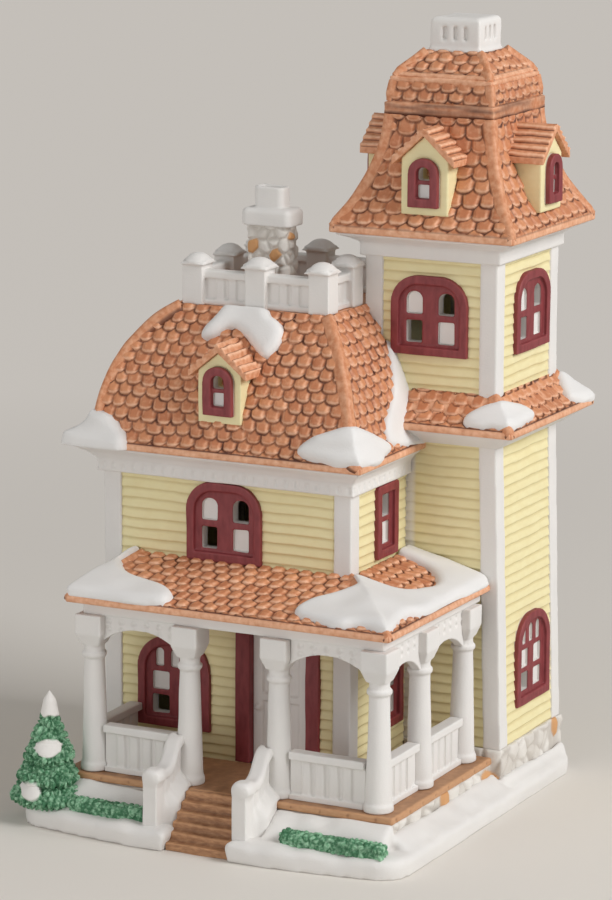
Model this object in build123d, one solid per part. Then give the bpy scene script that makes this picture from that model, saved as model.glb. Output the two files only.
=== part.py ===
from build123d import *
import math
import os

# A slip-cast village house, put together from cast pieces that are luted to one another.
# All sizes are in millimetres. The front faces -Y, +Z is up, and the origin is under the
# middle of the base.

# Base and foundation
base_margin_left = 6.5
base_margin_right = 5.9
base_margin_rear = 3.0
yard_depth = 12.5
base_height = 5.5
base_front_bow = 5.0
base_corner_radius = 9.0
base_edge_radius = 2.0
base_corner_set_back = 1.0
bank_depth = 11.0
bank_height = 6.9
side_bank_height = 4.0
foundation_height = 6.9
foundation_thickness = 5.5
foundation_proud = 1.2
deck_overhang = 0.6
tower_foundation_height = 11.5

# Main block: the lower storey reaches up to where the porch roof meets the wall
main_width = 81.0
main_depth = 83.0
lower_storey = 62.8
upper_storey = 32.2
wall_thickness = 3.5
siding_course = 3.7
siding_relief = 0.45
board_width = 5.0
board_proud = 0.8

# Main cornice and mansard roof
cornice_drop = 8.0
frieze_height = 4.0
frieze_proud = 1.3
cornice_lip = 0.8
cornice_reach = 0.86
cornice_waist_out = 0.5
cornice_waist_up = 0.45
eave_out_left = 10.0
eave_out_right = 5.8
eave_out_front = 6.0
eave_out_rear = 6.0
roof_edge = 1.5
flare_height = 8.6
flare_in_left = 8.7
flare_in_right = 4.3
flare_in_front = 2.6
flare_in_rear = 3.9
flare_bow_in = 0.62
flare_bow_up = 0.36
roof_height = 41.8
roof_run_left = 27.5
roof_run_right = 20.0
roof_run_front = 20.0
roof_run_rear = 27.0
roof_bow_left = 0.18
roof_bow_right = 0.38
roof_bow_front = 0.44
roof_bow_rear = 0.18
roof_bow_up = 0.51
roof_shell = 4.0

# Tower: it stands over the main block's rear right corner
tower_width = 41.6
tower_depth = 44.3
tower_overlap = 13.0
tower_batter = 3.0
tower_lower_height = 97.4
tower_upper_height = 57.4
skirt_drop = 4.9
skirt_out = 9.2
skirt_edge = 1.4
skirt_height = 12.0
skirt_bow_in = 0.56
skirt_bow_up = 0.52
skirt_moulding_foot = 0.14
skirt_moulding_reach = 0.84
tower_cornice_drop = 7.3
tower_eave_out = 8.6
tower_roof_edge = 1.8
tower_roof_height = 34.7
tower_roof_run = 12.8
tower_bow_in = 0.54
tower_bow_up = 0.36
belt_height = 3.8
belt_proud = 1.2
crown_height = 6.0
crown_batter = 1.0
crown_lip_height = 1.4
crown_lip_proud = 1.0
crown_slope_height = 6.8
cap_half = 8.0
cap_height = 10.4
cap_flare = 0.9
cap_flare_height = 1.8
cap_top_radius = 1.6
cap_slot_width = 1.5
cap_slot_height = 4.2
cap_slot_depth = 1.2
cap_slot_spacing = 3.4
cap_slot_rise = 5.7

# Porch
porch_depth = 32.5
deck_inset_left = 2.4
deck_right_in = 1.8
deck_thickness = 2.2
column_inset = 5.6
column_inset_left = 8.0
column_inset_side = 7.0
column_head = 8.6
column_head_height = 9.4
column_head_taper = 3.4
column_neck = 6.0
column_foot = 7.8
column_ring = 7.4
column_ring_height = 1.5
column_ring_drop = 2.2
column_base_height = 2.0
column_base_proud = 0.5
column_base_slope = 0.8
stair_column_left_gap = 2.6
stair_column_right_gap = 5.5
side_column_shift = 1.5
side_column_rear_gap = 7.8
beam_height = 3.6
beam_width = 5.0
porch_eave_out = 2.4
porch_eave_out_left = 3.9
porch_roof_edge = 1.5
porch_roof_height = 9.2
porch_end_run = 8.0
arch_thickness = 3.0
arch_tuck = 0.6
arch_front_crown = 3.6
arch_front_spring = 9.0
arch_side_crown = 7.0
arch_side_spring = 12.6
rail_height = 14.4
rail_cap_width = 4.2
rail_cap_height = 2.4
rail_foot_width = 3.6
rail_foot_height = 1.8
rail_panel = 1.4
baluster_width = 2.6
baluster_depth = 2.8
baluster_pitch = 4.4

# Stairs
step_count = 6
stair_door_offset = 3.6
stair_width = 21.2
stair_run = 15.0
stair_wall_width = 8.0
newel_depth = 6.5
newel_set_back = 1.2
newel_edge_radius = 2.0
newel_height = 16.8
stair_wall_rise = 7.8

# Door
door_from_right = 13.8
door_width = 18.6
door_height = 40.5
door_thickness = 2.6
door_recess = 1.4
door_panel_margin = 3.2
door_panel_depth = 0.7
door_middle_rail = 2.0
knob_diameter = 2.0
knob_inset = 1.9
knob_height = 17.0
jamb_width = 4.6
jamb_proud = 1.4

# Windows: side, foot, head, mullion and bar are the widths of wood round the lights
frame_proud = 1.7
sash_proud = 0.5
frame_rim = 2.6
pane_set_back = 1.0
pane_thickness = 1.2
light_corner = 0.4
pair_width = 25.0
pair_head_gap = 0.1
pair_arch = 9.0
pair_side = 4.7
pair_mullion = 5.2
pair_foot = 3.6
pair_head = 5.0
pair_bar = 2.0
pair_light_arch = 2.4
hall_width = 24.6
hall_height = 28.0
hall_arch = 10.4
hall_side = 4.7
hall_mullion = 3.8
hall_fan_side = 5.8
hall_fan_mullion = 2.4
hall_foot = 3.8
hall_head = 4.0
hall_bar = 1.6
hall_fan_arch = 1.4
slim_width = 14.0
slim_height = 22.2
slim_arch = 1.2
slim_side = 4.3
slim_foot = 3.8
slim_head = 3.4
slim_bar = 1.6
dormer_window_width = 9.6
dormer_window_height = 14.6
dormer_window_arch = 4.6
dormer_window_rise = 2.4
dormer_side = 2.9
dormer_foot = 2.8
dormer_head = 2.6
dormer_bar = 1.2
dormer_light_arch = 1.8
lower_sill_rise = 10.0
right_lower_sill_rise = 11.0
right_upper_sill_rise = 1.7
tower_sill_rise = 21.2
tower_lower_sill_rise = 10.0
front_upper_shift = 0.5
front_lower_shift = 1.5
right_upper_offset = 23.1
right_lower_offset = 27.9
tower_front_offset = -0.4
tower_right_offset = 2.65
tower_hall_offset = 1.85

# Dormers
dormer_wall = 3.0
gable_thickness = 1.9
gable_side_out = 2.6
gable_front_out = 1.6
gable_edge = 2.2
main_dormer_shift = 0.7
main_dormer_width = 14.2
main_dormer_set_back = 2.3
main_dormer_rise = 10.5
main_dormer_height = 15.5
main_dormer_gable = 5.8
main_dormer_depth = 18.0
tower_dormer_width = 15.2
tower_dormer_set_back = 1.0
tower_dormer_set_back_front = 2.35
tower_dormer_rise = 6.6
tower_dormer_height = 16.8
tower_dormer_gable = 6.8
tower_dormer_depth = 16.0

# Roof balustrade and chimney
post_width = 6.8
post_height = 12.2
post_cap_width = 9.0
post_cap_height = 2.6
post_cap_radius = 2.0
balustrade_height = 10.6
balustrade_pitch = 4.0
balustrade_inset = 3.6
chimney_from_left = 20.7
chimney_from_front = 19.5
chimney_width = 13.6
chimney_depth = 8.2
chimney_height = 23.0
chimney_corner = 1.8
chimney_cap_width = 16.6
chimney_cap_depth = 10.4
chimney_cap_height = 5.2
chimney_cap_corner = 2.0
chimney_cap_top_radius = 1.6
flue_width = 10.0
flue_depth = 6.2
flue_height = 6.4
flue_wall = 1.4
flue_corner = 1.8

# Planting
tree_from_left = 7.0
tree_from_front = 8.5
tree_radius = 11.0
tree_height = 34.5
tree_tiers = 5
tree_foot = 0.72
tree_tip_tiers = 0.6
tree_narrowing = 0.4
tier_lip = 0.32
tier_neck = 0.66
tier_neck_up = 1.1
hedge_front_in = 0.8
hedge_depth = 4.4
hedge_height = 4.8
hedge_radius = 1.8
hedge_left_inset = 8.6
hedge_left_gap = 1.2
hedge_right_gap = 6.2
hedge_right_inset = 5.5

# Snow drifts: cones at the eaves' corners, and outlines measured from a corner or an edge
snow_depth = 1.6
main_drift_radius = 20.0
main_drift_top = 3.0
main_drift_height = 11.5
skirt_drift_radius = 14.5
skirt_drift_top = 4.5
skirt_drift_height = 9.5
porch_left_drift = [(-5, -5), (32, -5), (27, 5), (13, 13), (8, 32), (-5, 32)]
porch_right_drift_eave = [(-31, -5), (5, -5)]
porch_right_drift_tower = [(5, 0), (-30, 0), (-30, -7), (-17, -10)]
porch_right_drift_edge = [(-14, 44), (-20, 32), (-26, 26), (-30, 16), (-35, 9)]
tower_drift = [(-12, 0), (0, 0), (0, 30), (-5, 28), (-8, 14)]
tower_drift_length = 20.0
ridge_drift = [
    (-8.5, -8.5), (-2.0, -4.5), (4.0, -6.5), (13.5, -13.0), (17.5, -7.0), (17.0, -1.0), (6.0, -0.1),
    (-5.5, -1.0)]

# Lamp set
lamp_shift = 4.0
lamp_rise = 29.6
lamp_hole = 28.4
lamp_clearance = 0.3
lamp_barrel_slack = 2.0
lamp_flange_rim = 2.8
lamp_flange_thickness = 2.4
lamp_barrel_length = 27.0
cord_hole = 5.0
spring_width = 4.6
spring_thickness = 0.5
spring_length = 18.0
spring_bow = 1.3
spring_set_back = 1.0
spring_slack = 0.4
bulb_cap_diameter = 12.0
bulb_cap_length = 15.0
bulb_cap_taper = 3.0
bulb_contact_height = 1.2
bulb_insulator = 6.6
bulb_contact = 4.8
bulb_diameter = 21.0
bulb_length = 37.0
bulb_shoulder = 15.5
bulb_tip_radius = 4.2
bulb_glass_neck = 10.6
bulb_swell = 17.0

# Places worked out from the sizes above
base_width = base_margin_left + main_width + tower_width - tower_overlap + tower_batter + base_margin_right
base_depth = yard_depth + porch_depth + main_depth + base_margin_rear
base_right = base_width / 2
base_front = -base_depth / 2
base_back = base_depth / 2
foundation_top = base_height + foundation_height
deck_top = foundation_top + deck_thickness
tower_foundation_top = base_height + tower_foundation_height
main_left = base_margin_left - base_right
main_right = main_left + main_width
deck_front = base_front + yard_depth
main_front = deck_front + porch_depth
main_back = main_front + main_depth
main_wall_height = lower_storey + upper_storey
main_eave = foundation_top + main_wall_height
tower_left = main_right - tower_overlap
tower_right = tower_left + tower_width
tower_back = main_back
tower_front = tower_back - tower_depth
tower_foot_right = tower_right + tower_batter
tower_lower_top = tower_foundation_top + tower_lower_height
tower_wall_top = tower_lower_top + tower_upper_height
tower_x = tower_left + tower_width / 2
tower_y = tower_front + tower_depth / 2
eave_left = main_left - eave_out_left
eave_right = main_right + eave_out_right
eave_front = main_front - eave_out_front
eave_rear = main_back + eave_out_rear
roof_top = main_eave + roof_height
platform_left = eave_left + roof_run_left
platform_right = eave_right - roof_run_right
platform_front = eave_front + roof_run_front
platform_rear = eave_rear - roof_run_rear
deck_left = main_left + deck_inset_left
deck_right = tower_foot_right - deck_right_in
main_middle = main_left + main_width / 2
door_left = main_right - door_from_right - door_width
stair_left = door_left - stair_door_offset
stair_right = stair_left + stair_width
stair_front = deck_front - stair_run
column_front = deck_front + column_inset
column_left = deck_left + column_inset_left
column_corner = deck_right - column_inset_side
stair_column_left = stair_left - stair_column_left_gap
stair_column_right = stair_right + stair_column_right_gap
side_column_rear = tower_front - side_column_rear_gap
side_column_middle = (column_front + side_column_rear) / 2 - side_column_shift
beam_top = foundation_top + lower_storey - porch_roof_height
column_top = beam_top - beam_height
column_half = column_head / 2
lower_sill = foundation_top + lower_sill_rise
upper_sill = foundation_top + lower_storey + pair_head_gap
pair_height = upper_storey - cornice_drop - 2 * pair_head_gap
right_lower_sill = foundation_top + right_lower_sill_rise
right_upper_sill = foundation_top + lower_storey + right_upper_sill_rise
tower_sill = tower_lower_top + tower_sill_rise
tower_lower_sill = tower_foundation_top + tower_lower_sill_rise
main_dormer_middle = main_middle - main_dormer_shift
main_dormer_face = eave_front + main_dormer_set_back
main_dormer_sill = main_eave + main_dormer_rise
main_dormer_eave = main_dormer_sill + main_dormer_height
main_dormer_peak = main_dormer_eave + main_dormer_gable
tower_dormer_side_face = tower_width / 2 + tower_eave_out - tower_dormer_set_back
tower_dormer_front_face = tower_depth / 2 + tower_eave_out - tower_dormer_set_back_front
tower_dormer_sill = tower_wall_top + tower_dormer_rise
tower_dormer_eave = tower_dormer_sill + tower_dormer_height
tower_dormer_peak = tower_dormer_eave + tower_dormer_gable
chimney_x = platform_left + chimney_from_left
chimney_y = platform_front + chimney_from_front
tree_x = tree_from_left - base_right
tree_y = base_front + tree_from_front
hedge_front = base_front + hedge_front_in
hedge_left_start = deck_left + hedge_left_inset
hedge_left_end = stair_left - stair_wall_width - hedge_left_gap
hedge_right_start = stair_right + stair_wall_width + hedge_right_gap
hedge_right_end = base_right - hedge_right_inset
lamp_x = (main_left + tower_left) / 2 + lamp_shift
lamp_z = foundation_top + lamp_rise
lamp_barrel = lamp_hole - lamp_barrel_slack
lamp_flange = lamp_hole + 2 * lamp_flange_rim
spring_reach = lamp_hole / 2 - spring_slack

# Further than the house reaches, for cuts that go right through
far = 400.0
# A hair's breadth, for picking edges by their place
hair = 0.01


def lift(axis, along, first, second):
    """A point at `along` on one axis, with its other two coordinates in order."""
    point = [first, second]
    point.insert(axis, along)
    return tuple(point)


def prism(axis, points, low, high):
    """A straight-sided outline pushed along an axis from low to high."""
    corners = [lift(axis, low, first, second) for first, second in points]
    return push(axis, make_face(Polyline(*corners, close=True).edges()), high - low)


def push(axis, face, amount):
    direction = [0, 0, 0]
    direction[axis] = 1
    return extrude(face, amount=amount, dir=tuple(direction))


def block(x_span, y_span, z_span):
    """A box between two places on each axis."""
    spans = (x_span, y_span, z_span)
    middle = [(low + high) / 2 for low, high in spans]
    size = [high - low for low, high in spans]
    return Pos(*middle) * Box(*size)


def without(solid, *tools):
    """Cut each tool out of a solid."""
    for tool in tools:
        solid = solid - tool
    return solid


def solids_of(shape):
    return list(shape.solids())


def group(*shapes):
    """Several separate solids kept side by side in one node."""
    pieces = []
    for shape in shapes:
        pieces += solids_of(shape)
    return Compound(children=pieces)


def save(name, shape):
    export_step(shape, os.path.join("parts", name + ".step"))


# Siding panels: each course stands proud at its lower edge.
def siding(axis, out, face_low, face_high, back, z_low, z_high, start, end):
    """A clapboard panel that runs along an axis, faces outwards (out is 1 or -1)."""
    courses = max(1, round((z_high - z_low) / siding_course))
    step = (z_high - z_low) / courses
    slope = (face_high - face_low) / (z_high - z_low)
    points = [(back, z_low)]
    for course in range(courses):
        low = z_low + course * step
        points.append((face_low + slope * course * step + out * siding_relief, low))
        points.append((face_low + slope * (course + 1) * step, low + step))
    points.append((back, z_high))
    return prism(axis, points, start, end)


# Windows: a frame with a raised rim, a set-back sash, open lights and closed white panes.
least_flat = 0.05


def arched(width, height, radius, low=0.0, middle=0.0):
    """An upright face with a flat foot and rounded upper corners."""
    half = width / 2
    bend = min(radius, half - least_flat, height - least_flat)
    sag = bend * (1 - math.sqrt(0.5))
    top = low + height
    left = middle - half
    right = middle + half
    outline = Polyline((left, top - bend), (left, low), (right, low), (right, top - bend))
    outline += ThreePointArc((right, top - bend), (right - sag, top - sag), (right - bend, top))
    outline += Line((right - bend, top), (left + bend, top))
    outline += ThreePointArc((left + bend, top), (left + sag, top - sag), (left, top - bend))
    return make_face(outline.edges())


class Window:
    """One kind of window: its size, its arch and its rows of lights, from the foot up.

    Every row is as high as the others. A row is (side wood, mullion, arch radius, lights),
    and each of its lights is True if it is pierced or False if it holds a white pane. A
    light is kept as (middle, sill, width, height, arch radius, pierced)."""

    def __init__(self, width, height, radius, foot, head, bar, rows):
        self.width = width
        self.height = height
        self.radius = radius
        self.lights = []
        row_height = (height - foot - head - bar * (len(rows) - 1)) / len(rows)
        for number, (side, mullion, arch, lights) in enumerate(rows):
            sill = foot + number * (row_height + bar)
            light_width = (width - 2 * side - mullion * (len(lights) - 1)) / len(lights)
            for place, pierced in enumerate(lights):
                middle = side + light_width / 2 + place * (light_width + mullion) - width / 2
                self.lights.append((middle, sill, light_width, row_height, arch, pierced))

    def pushed(self, face, low, high):
        return Pos(0, 0, low) * extrude(face, amount=high - low, dir=(0, 0, 1))

    def opening(self, depth):
        face = arched(self.width, self.height, self.radius)
        return self.pushed(face, -depth, frame_proud)

    def frame(self, depth):
        inner_width = self.width - 2 * frame_rim
        inner_height = self.height - 2 * frame_rim
        inner_radius = max(self.radius - frame_rim, light_corner)
        recess = arched(inner_width, inner_height, inner_radius, frame_rim)
        solid = self.opening(depth) - self.pushed(recess, sash_proud, frame_proud)
        for middle, sill, width, height, radius, pierced in self.lights:
            hole = arched(width, height, radius, sill, middle)
            solid = solid - self.pushed(hole, -depth, frame_proud)
        return solid

    def panes(self):
        front = sash_proud - pane_set_back
        found = []
        for middle, sill, width, height, radius, pierced in self.lights:
            if not pierced:
                face = arched(width, height, radius, sill, middle)
                found.append(self.pushed(face, front - pane_thickness, front))
        return found


pair_window = Window(pair_width, pair_height, pair_arch, pair_foot, pair_head, pair_bar, [
    (pair_side, pair_mullion, light_corner, (True, False)),
    (pair_side, pair_mullion, pair_light_arch, (False, True)),
])
hall_window = Window(hall_width, hall_height, hall_arch, hall_foot, hall_head, hall_bar, [
    (hall_side, hall_mullion, light_corner, (True, False)),
    (hall_side, hall_mullion, light_corner, (False, False)),
    (hall_fan_side, hall_fan_mullion, hall_fan_arch, (False, False, False)),
])
slim_window = Window(slim_width, slim_height, slim_arch, slim_foot, slim_head, slim_bar, [
    (slim_side, 0.0, light_corner, (False,)),
    (slim_side, 0.0, light_corner, (True,)),
])
dormer_window = Window(
    dormer_window_width, dormer_window_height, dormer_window_arch, dormer_foot, dormer_head, dormer_bar, [
        (dormer_side, 0.0, light_corner, (False,)),
        (dormer_side, 0.0, dormer_light_arch, (True,)),
    ])


def facing(side, along, face, sill):
    """A plane on a wall: local x runs along the wall, y is up and z points out."""
    directions = {
        "front": ((along, face, sill), (1, 0, 0), (0, -1, 0)),
        "right": ((face, along, sill), (0, 1, 0), (1, 0, 0)),
        "rear": ((along, face, sill), (-1, 0, 0), (0, 1, 0)),
        "left": ((face, along, sill), (0, -1, 0), (-1, 0, 0)),
    }
    origin, across, outwards = directions[side]
    return Plane(origin=origin, x_dir=across, z_dir=outwards).location


closed_panes = []


def set_window(kind, side, along, face, sill, depth=wall_thickness):
    """A window on a wall: its frame and the hole that it fills. Its panes are kept."""
    place = facing(side, along, face, sill)
    closed_panes.extend(place * pane for pane in kind.panes())
    return place * kind.frame(depth), place * kind.opening(depth)


# Hipped forms: two curved outlines, one along each axis, that meet at the hips.
def hip_outline(axis, ends, runs, flares, bows, bottom, shape, grow):
    """An upright outline across one axis: up one side, over the top and down the other.

    A point of the shape is (share of the flare, share of the rest of the run, height). Where
    the second share is None, it is that side's own bow."""
    def side(end, sign, run, flare, bow):
        def place(point):
            first, second, height = point
            share = bow if second is None else second
            inset = first * flare + share * (run - flare) - grow
            return lift(1 - axis, 0.0, end + sign * inset, height + grow)
        edges = []
        here = lift(1 - axis, 0.0, end - sign * grow, bottom)
        for stretch in shape:
            there = place(stretch[-1])
            if len(stretch) == 1:
                edges.append(Line(here, there))
            else:
                edges.append(ThreePointArc(here, place(stretch[0]), there))
            here = there
        return edges, lift(1 - axis, 0.0, end - sign * grow, bottom), here
    first_edges, first_foot, first_top = side(ends[0], 1, runs[0], flares[0], bows[0])
    last_edges, last_foot, last_top = side(ends[1], -1, runs[1], flares[1], bows[1])
    closing = [Line(first_top, last_top), Line(last_foot, first_foot)]
    return make_face(first_edges + last_edges + closing)


def hip_form(
        x_ends, y_ends, x_runs, y_runs, x_flares, y_flares, bottom, shape, grow=0.0, x_bows=(0, 0),
        y_bows=(0, 0)):
    """The solid under a hipped roof's surface, or that surface moved out by grow."""
    across = hip_outline(0, x_ends, x_runs, x_flares, x_bows, bottom, shape, grow)
    along = hip_outline(1, y_ends, y_runs, y_flares, y_bows, bottom, shape, grow)
    return (Pos(0, -far, 0) * push(1, across, 2 * far)) & (Pos(-far, 0, 0) * push(0, along, 2 * far))


def mitred_ring(inner, outer, profile):
    """Four straight mouldings round a rectangle, mitred where they meet.

    inner and outer are (left, right, front, rear). A profile point is (share of the way
    from the inner to the outer line, extra distance, height)."""
    left, right, front, rear = inner
    out_left, out_right, out_front, out_rear = outer
    corners = {
        "front": [(out_left, out_front), (out_right, out_front), (right, front), (left, front)],
        "right": [(out_right, out_front), (out_right, out_rear), (right, rear), (right, front)],
        "rear": [(out_right, out_rear), (out_left, out_rear), (left, rear), (right, rear)],
        "left": [(out_left, out_rear), (out_left, out_front), (left, front), (left, rear)],
    }
    lines = {
        "front": (0, front, out_front, -1),
        "right": (1, right, out_right, 1),
        "rear": (0, rear, out_rear, 1),
        "left": (1, left, out_left, -1),
    }
    pieces = {}
    heights = [height for share, extra, height in profile]
    for side, (axis, start, end, sign) in lines.items():
        points = [(start + share * (end - start) + sign * extra, height) for share, extra, height in profile]
        run = prism(axis, points, -far, far)
        trapezium = prism(2, corners[side], min(heights) - 1, max(heights) + 1)
        pieces[side] = run & trapezium
    return pieces


main_roof_shape = [
    [(0, 0, main_eave + roof_edge)],
    [(flare_bow_in, 0, main_eave + roof_edge + flare_bow_up * (flare_height - roof_edge)),
     (1, 0, main_eave + flare_height)],
    [(1, None, main_eave + flare_height + roof_bow_up * (roof_height - flare_height)),
     (1, 1, roof_top)],
]


def main_roof_form(grow=0.0, bottom=main_eave):
    return hip_form(
        (eave_left, eave_right), (eave_front, eave_rear),
        (roof_run_left, roof_run_right), (roof_run_front, roof_run_rear),
        (flare_in_left, flare_in_right), (flare_in_front, flare_in_rear),
        bottom, main_roof_shape, grow, (roof_bow_left, roof_bow_right), (roof_bow_front, roof_bow_rear))


tower_eave_x = (tower_left - tower_eave_out, tower_right + tower_eave_out)
tower_eave_y = (tower_front - tower_eave_out, tower_back + tower_eave_out)
tower_roof_shape = [
    [(0, 0, tower_wall_top + tower_roof_edge)],
    [(0, tower_bow_in, tower_wall_top + tower_bow_up * tower_roof_height),
     (0, 1, tower_wall_top + tower_roof_height)],
]


def tower_roof_form(grow=0.0, bottom=tower_wall_top):
    runs = (tower_roof_run, tower_roof_run)
    return hip_form(
        tower_eave_x, tower_eave_y, runs, runs, (0, 0), (0, 0), bottom, tower_roof_shape, grow)


skirt_eave_x = (tower_left - skirt_out, tower_right + skirt_out)
skirt_eave_y = (tower_front - skirt_out, tower_back + skirt_out)
skirt_shape = [
    [(0, 0, tower_lower_top + skirt_edge)],
    [(0, skirt_bow_in, tower_lower_top + skirt_bow_up * skirt_height),
     (0, 1, tower_lower_top + skirt_height)],
]


def skirt_form(grow=0.0):
    runs = (skirt_out, skirt_out)
    return hip_form(
        skirt_eave_x, skirt_eave_y, runs, runs, (0, 0), (0, 0), tower_lower_top, skirt_shape, grow)


porch_left = column_left - beam_width / 2 - porch_eave_out_left
porch_right = column_corner + beam_width / 2 + porch_eave_out
porch_front = column_front - beam_width / 2 - porch_eave_out
porch_rear = tower_back
porch_shape = [
    [(0, 0, beam_top + porch_roof_edge)],
    [(0, 1, beam_top + porch_roof_height)],
]


def porch_form(grow=0.0):
    return hip_form(
        (porch_left, porch_right), (porch_front, porch_rear),
        (porch_end_run, porch_right - main_right), (main_front - porch_front, 0.0),
        (0, 0), (0, 0), beam_top, porch_shape, grow)


# Room that the walls take up, used to trim what leans against them
main_room = block(
    (main_left - board_proud, main_right + board_proud),
    (main_front - board_proud, main_back + board_proud), (0, main_eave))
tower_room = block(
    (tower_left - board_proud, tower_foot_right + board_proud), (tower_front - board_proud, far), (0, far))
tower_shaft = block(
    (tower_left - board_proud, tower_right + board_proud),
    (tower_front - board_proud, tower_back + board_proud), (0, far))


def tower_right_at(height):
    """The right face of the tower's lower part, which leans in as it rises."""
    share = (height - tower_foundation_top) / (tower_lower_top - tower_foundation_top)
    return tower_foot_right - share * tower_batter


# Base, with snow banked up against the foundation and a notch for the stairs
def make_base():
    bow = base_front - base_front_bow
    edge = base_front + base_corner_set_back
    outline = Polyline(
        (-base_right, edge), (-base_right, base_back), (base_right, base_back), (base_right, edge))
    outline += ThreePointArc((base_right, edge), (0, bow), (-base_right, edge))
    face = make_face(outline.edges())
    face = fillet(face.vertices(), base_corner_radius)
    slab = extrude(face, amount=base_height, dir=(0, 0, 1))
    slab = fillet(slab.faces().sort_by(Axis.Z)[-1].edges(), base_edge_radius)
    toe = deck_front - bank_depth
    crest = base_height + bank_height
    front_bank = [(toe, base_height), (deck_front, crest), (deck_front, base_height)]
    bank_left = prism(0, front_bank, deck_left, stair_left - stair_wall_width)
    bank_right = prism(0, front_bank, stair_right + stair_wall_width, deck_right)
    slab = slab + bank_left + bank_right
    tower_face = tower_front - board_proud
    side_runs = [
        (deck_right - deck_overhang, deck_front, tower_face),
        (tower_foot_right + foundation_proud, tower_face, tower_back)]
    for face, start, end in side_runs:
        side_bank = [
            (face, base_height), (face, base_height + side_bank_height),
            (base_right - base_edge_radius, base_height)]
        slab = slab + prism(1, side_bank, start, end)
    notch = block((stair_left, stair_right), (base_front - 2 * base_front_bow, deck_front), (0, far))
    return slab - notch


# Stone foundation: straight walls under the house, the deck's edges and the tower
def make_foundation():
    thick = foundation_thickness
    proud = foundation_proud
    z_low = (base_height, foundation_top)
    z_tower = (base_height, tower_foundation_top)
    side = tower_foot_right + proud
    tower_face = tower_front - board_proud
    deck_inner = deck_front + deck_overhang
    deck_side = deck_left + deck_overhang
    deck_end = deck_right - deck_overhang
    inner_left = main_left - proud
    back_face = main_back + proud
    return group(
        block((deck_side, deck_end), (deck_inner, deck_inner + thick), z_low),
        block((deck_end - thick, deck_end), (deck_inner + thick, tower_face), z_low),
        block((deck_side, deck_side + thick), (deck_inner + thick, main_front), z_low),
        block((inner_left, main_right), (main_front, main_front + thick), z_low),
        block((inner_left, inner_left + thick), (main_front + thick, back_face - thick), z_low),
        block((inner_left, tower_left), (back_face - thick, back_face), z_low),
        block((main_right - thick, main_right), (main_front + thick, tower_face), z_low),
        block((tower_left, side), (back_face - thick, back_face), z_tower),
        block((side - thick, side), (tower_face + thick, back_face - thick), z_tower),
        block((main_right, side), (tower_face, tower_face + thick), z_tower),
    )


# Porch deck: a front run and a side run, on the foundation's walls
def make_deck():
    z_span = (foundation_top, deck_top)
    wall_line = main_front - board_proud
    front = block((deck_left, deck_right), (deck_front, wall_line), z_span)
    side = block((main_right + board_proud, deck_right), (wall_line, tower_front - board_proud), z_span)
    return group(front, side)


def make_steps():
    rise = deck_top / step_count
    going = (deck_front - stair_front) / step_count
    points = [(deck_front, 0.0), (stair_front, 0.0)]
    for step in range(step_count):
        points.append((stair_front + step * going, (step + 1) * rise))
        points.append((stair_front + (step + 1) * going, (step + 1) * rise))
    return prism(0, points, stair_left, stair_right)


def make_stair_wall(left, column):
    """A solid wall beside the stairs: a newel at the foot, then a rail that sweeps up to the column."""
    top = base_height + newel_height
    newel_front = stair_front + newel_set_back
    newel_back = newel_front + newel_depth
    back = column_front - rail_cap_width / 2
    crest = (left, back, top + stair_wall_rise)
    outline = Polyline(
        crest, (left, back, base_height), (left, newel_front, base_height), (left, newel_front, top),
        (left, newel_back, top))
    outline += Spline((left, newel_back, top), crest, tangents=((0, 1, 0), (0, 1, 0)))
    wall = push(0, make_face(outline.edges()), stair_wall_width)
    rims = [
        edge for edge in wall.edges()
        if edge.bounding_box().size.X < hair and edge.center().Z > top - hair]
    wall = fillet(rims, newel_edge_radius)
    deck_room = block((-far, far), (deck_front, far), (0, deck_top))
    return without(wall, deck_room, column)


# Porch columns: a square head that tapers down to a round, swelling shaft
def make_column(x, y):
    neck_z = column_top - column_head_height
    ring_low = neck_z - column_ring_drop - column_ring_height
    base_radius = column_foot / 2 + column_base_proud
    shaft = [
        (0, deck_top), (base_radius, deck_top), (base_radius, deck_top + column_base_height),
        (column_foot / 2, deck_top + column_base_height + column_base_slope),
        (column_neck / 2, ring_low), (column_ring / 2, ring_low),
        (column_ring / 2, ring_low + column_ring_height),
        (column_neck / 2, ring_low + column_ring_height), (column_neck / 2, neck_z), (0, neck_z)]
    turned = [(radius, 0.0, height) for radius, height in shaft]
    body = revolve(make_face(Polyline(*turned, close=True).edges()), axis=Axis.Z)
    low = (-column_neck / 2, -column_half)
    high = (column_neck / 2, column_half)
    taper_top = neck_z + column_head_taper
    taper = leaning_block(low, high, low, high, neck_z, taper_top)
    head = block((-column_half, column_half), (-column_half, column_half), (taper_top, column_top))
    return Pos(x, y, 0) * (body + taper + head)


def make_arch(axis, line, start, end, crown, spring):
    """A spandrel between two column heads, hollowed below by a flat arch."""
    crown_z = column_top - crown
    spring_z = column_top - spring
    outline = Polyline(
        arch_point(axis, line, start, spring_z),
        arch_point(axis, line, start, column_top),
        arch_point(axis, line, end, column_top),
        arch_point(axis, line, end, spring_z))
    outline += ThreePointArc(
        arch_point(axis, line, end, spring_z),
        arch_point(axis, line, (start + end) / 2, crown_z),
        arch_point(axis, line, start, spring_z))
    return push(1 - axis, make_face(outline.edges()), arch_thickness)


def arch_point(axis, line, along, height):
    across = line - arch_thickness / 2
    return (along, across, height) if axis == 0 else (across, along, height)


def make_arches():
    half = column_neck / 2 - arch_tuck
    front = (arch_front_crown, arch_front_spring)
    side = (arch_side_crown, arch_side_spring)
    arches = [
        make_arch(0, column_front, column_left + half, stair_column_left - half, *front),
        make_arch(0, column_front, stair_column_right + half, column_corner - half, *front),
        make_arch(1, column_corner, column_front + half, side_column_middle - half, *side),
        make_arch(1, column_corner, side_column_middle + half, side_column_rear - half, *side)]
    return group(*(without(arch, *columns.values()) for arch in arches))


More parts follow.
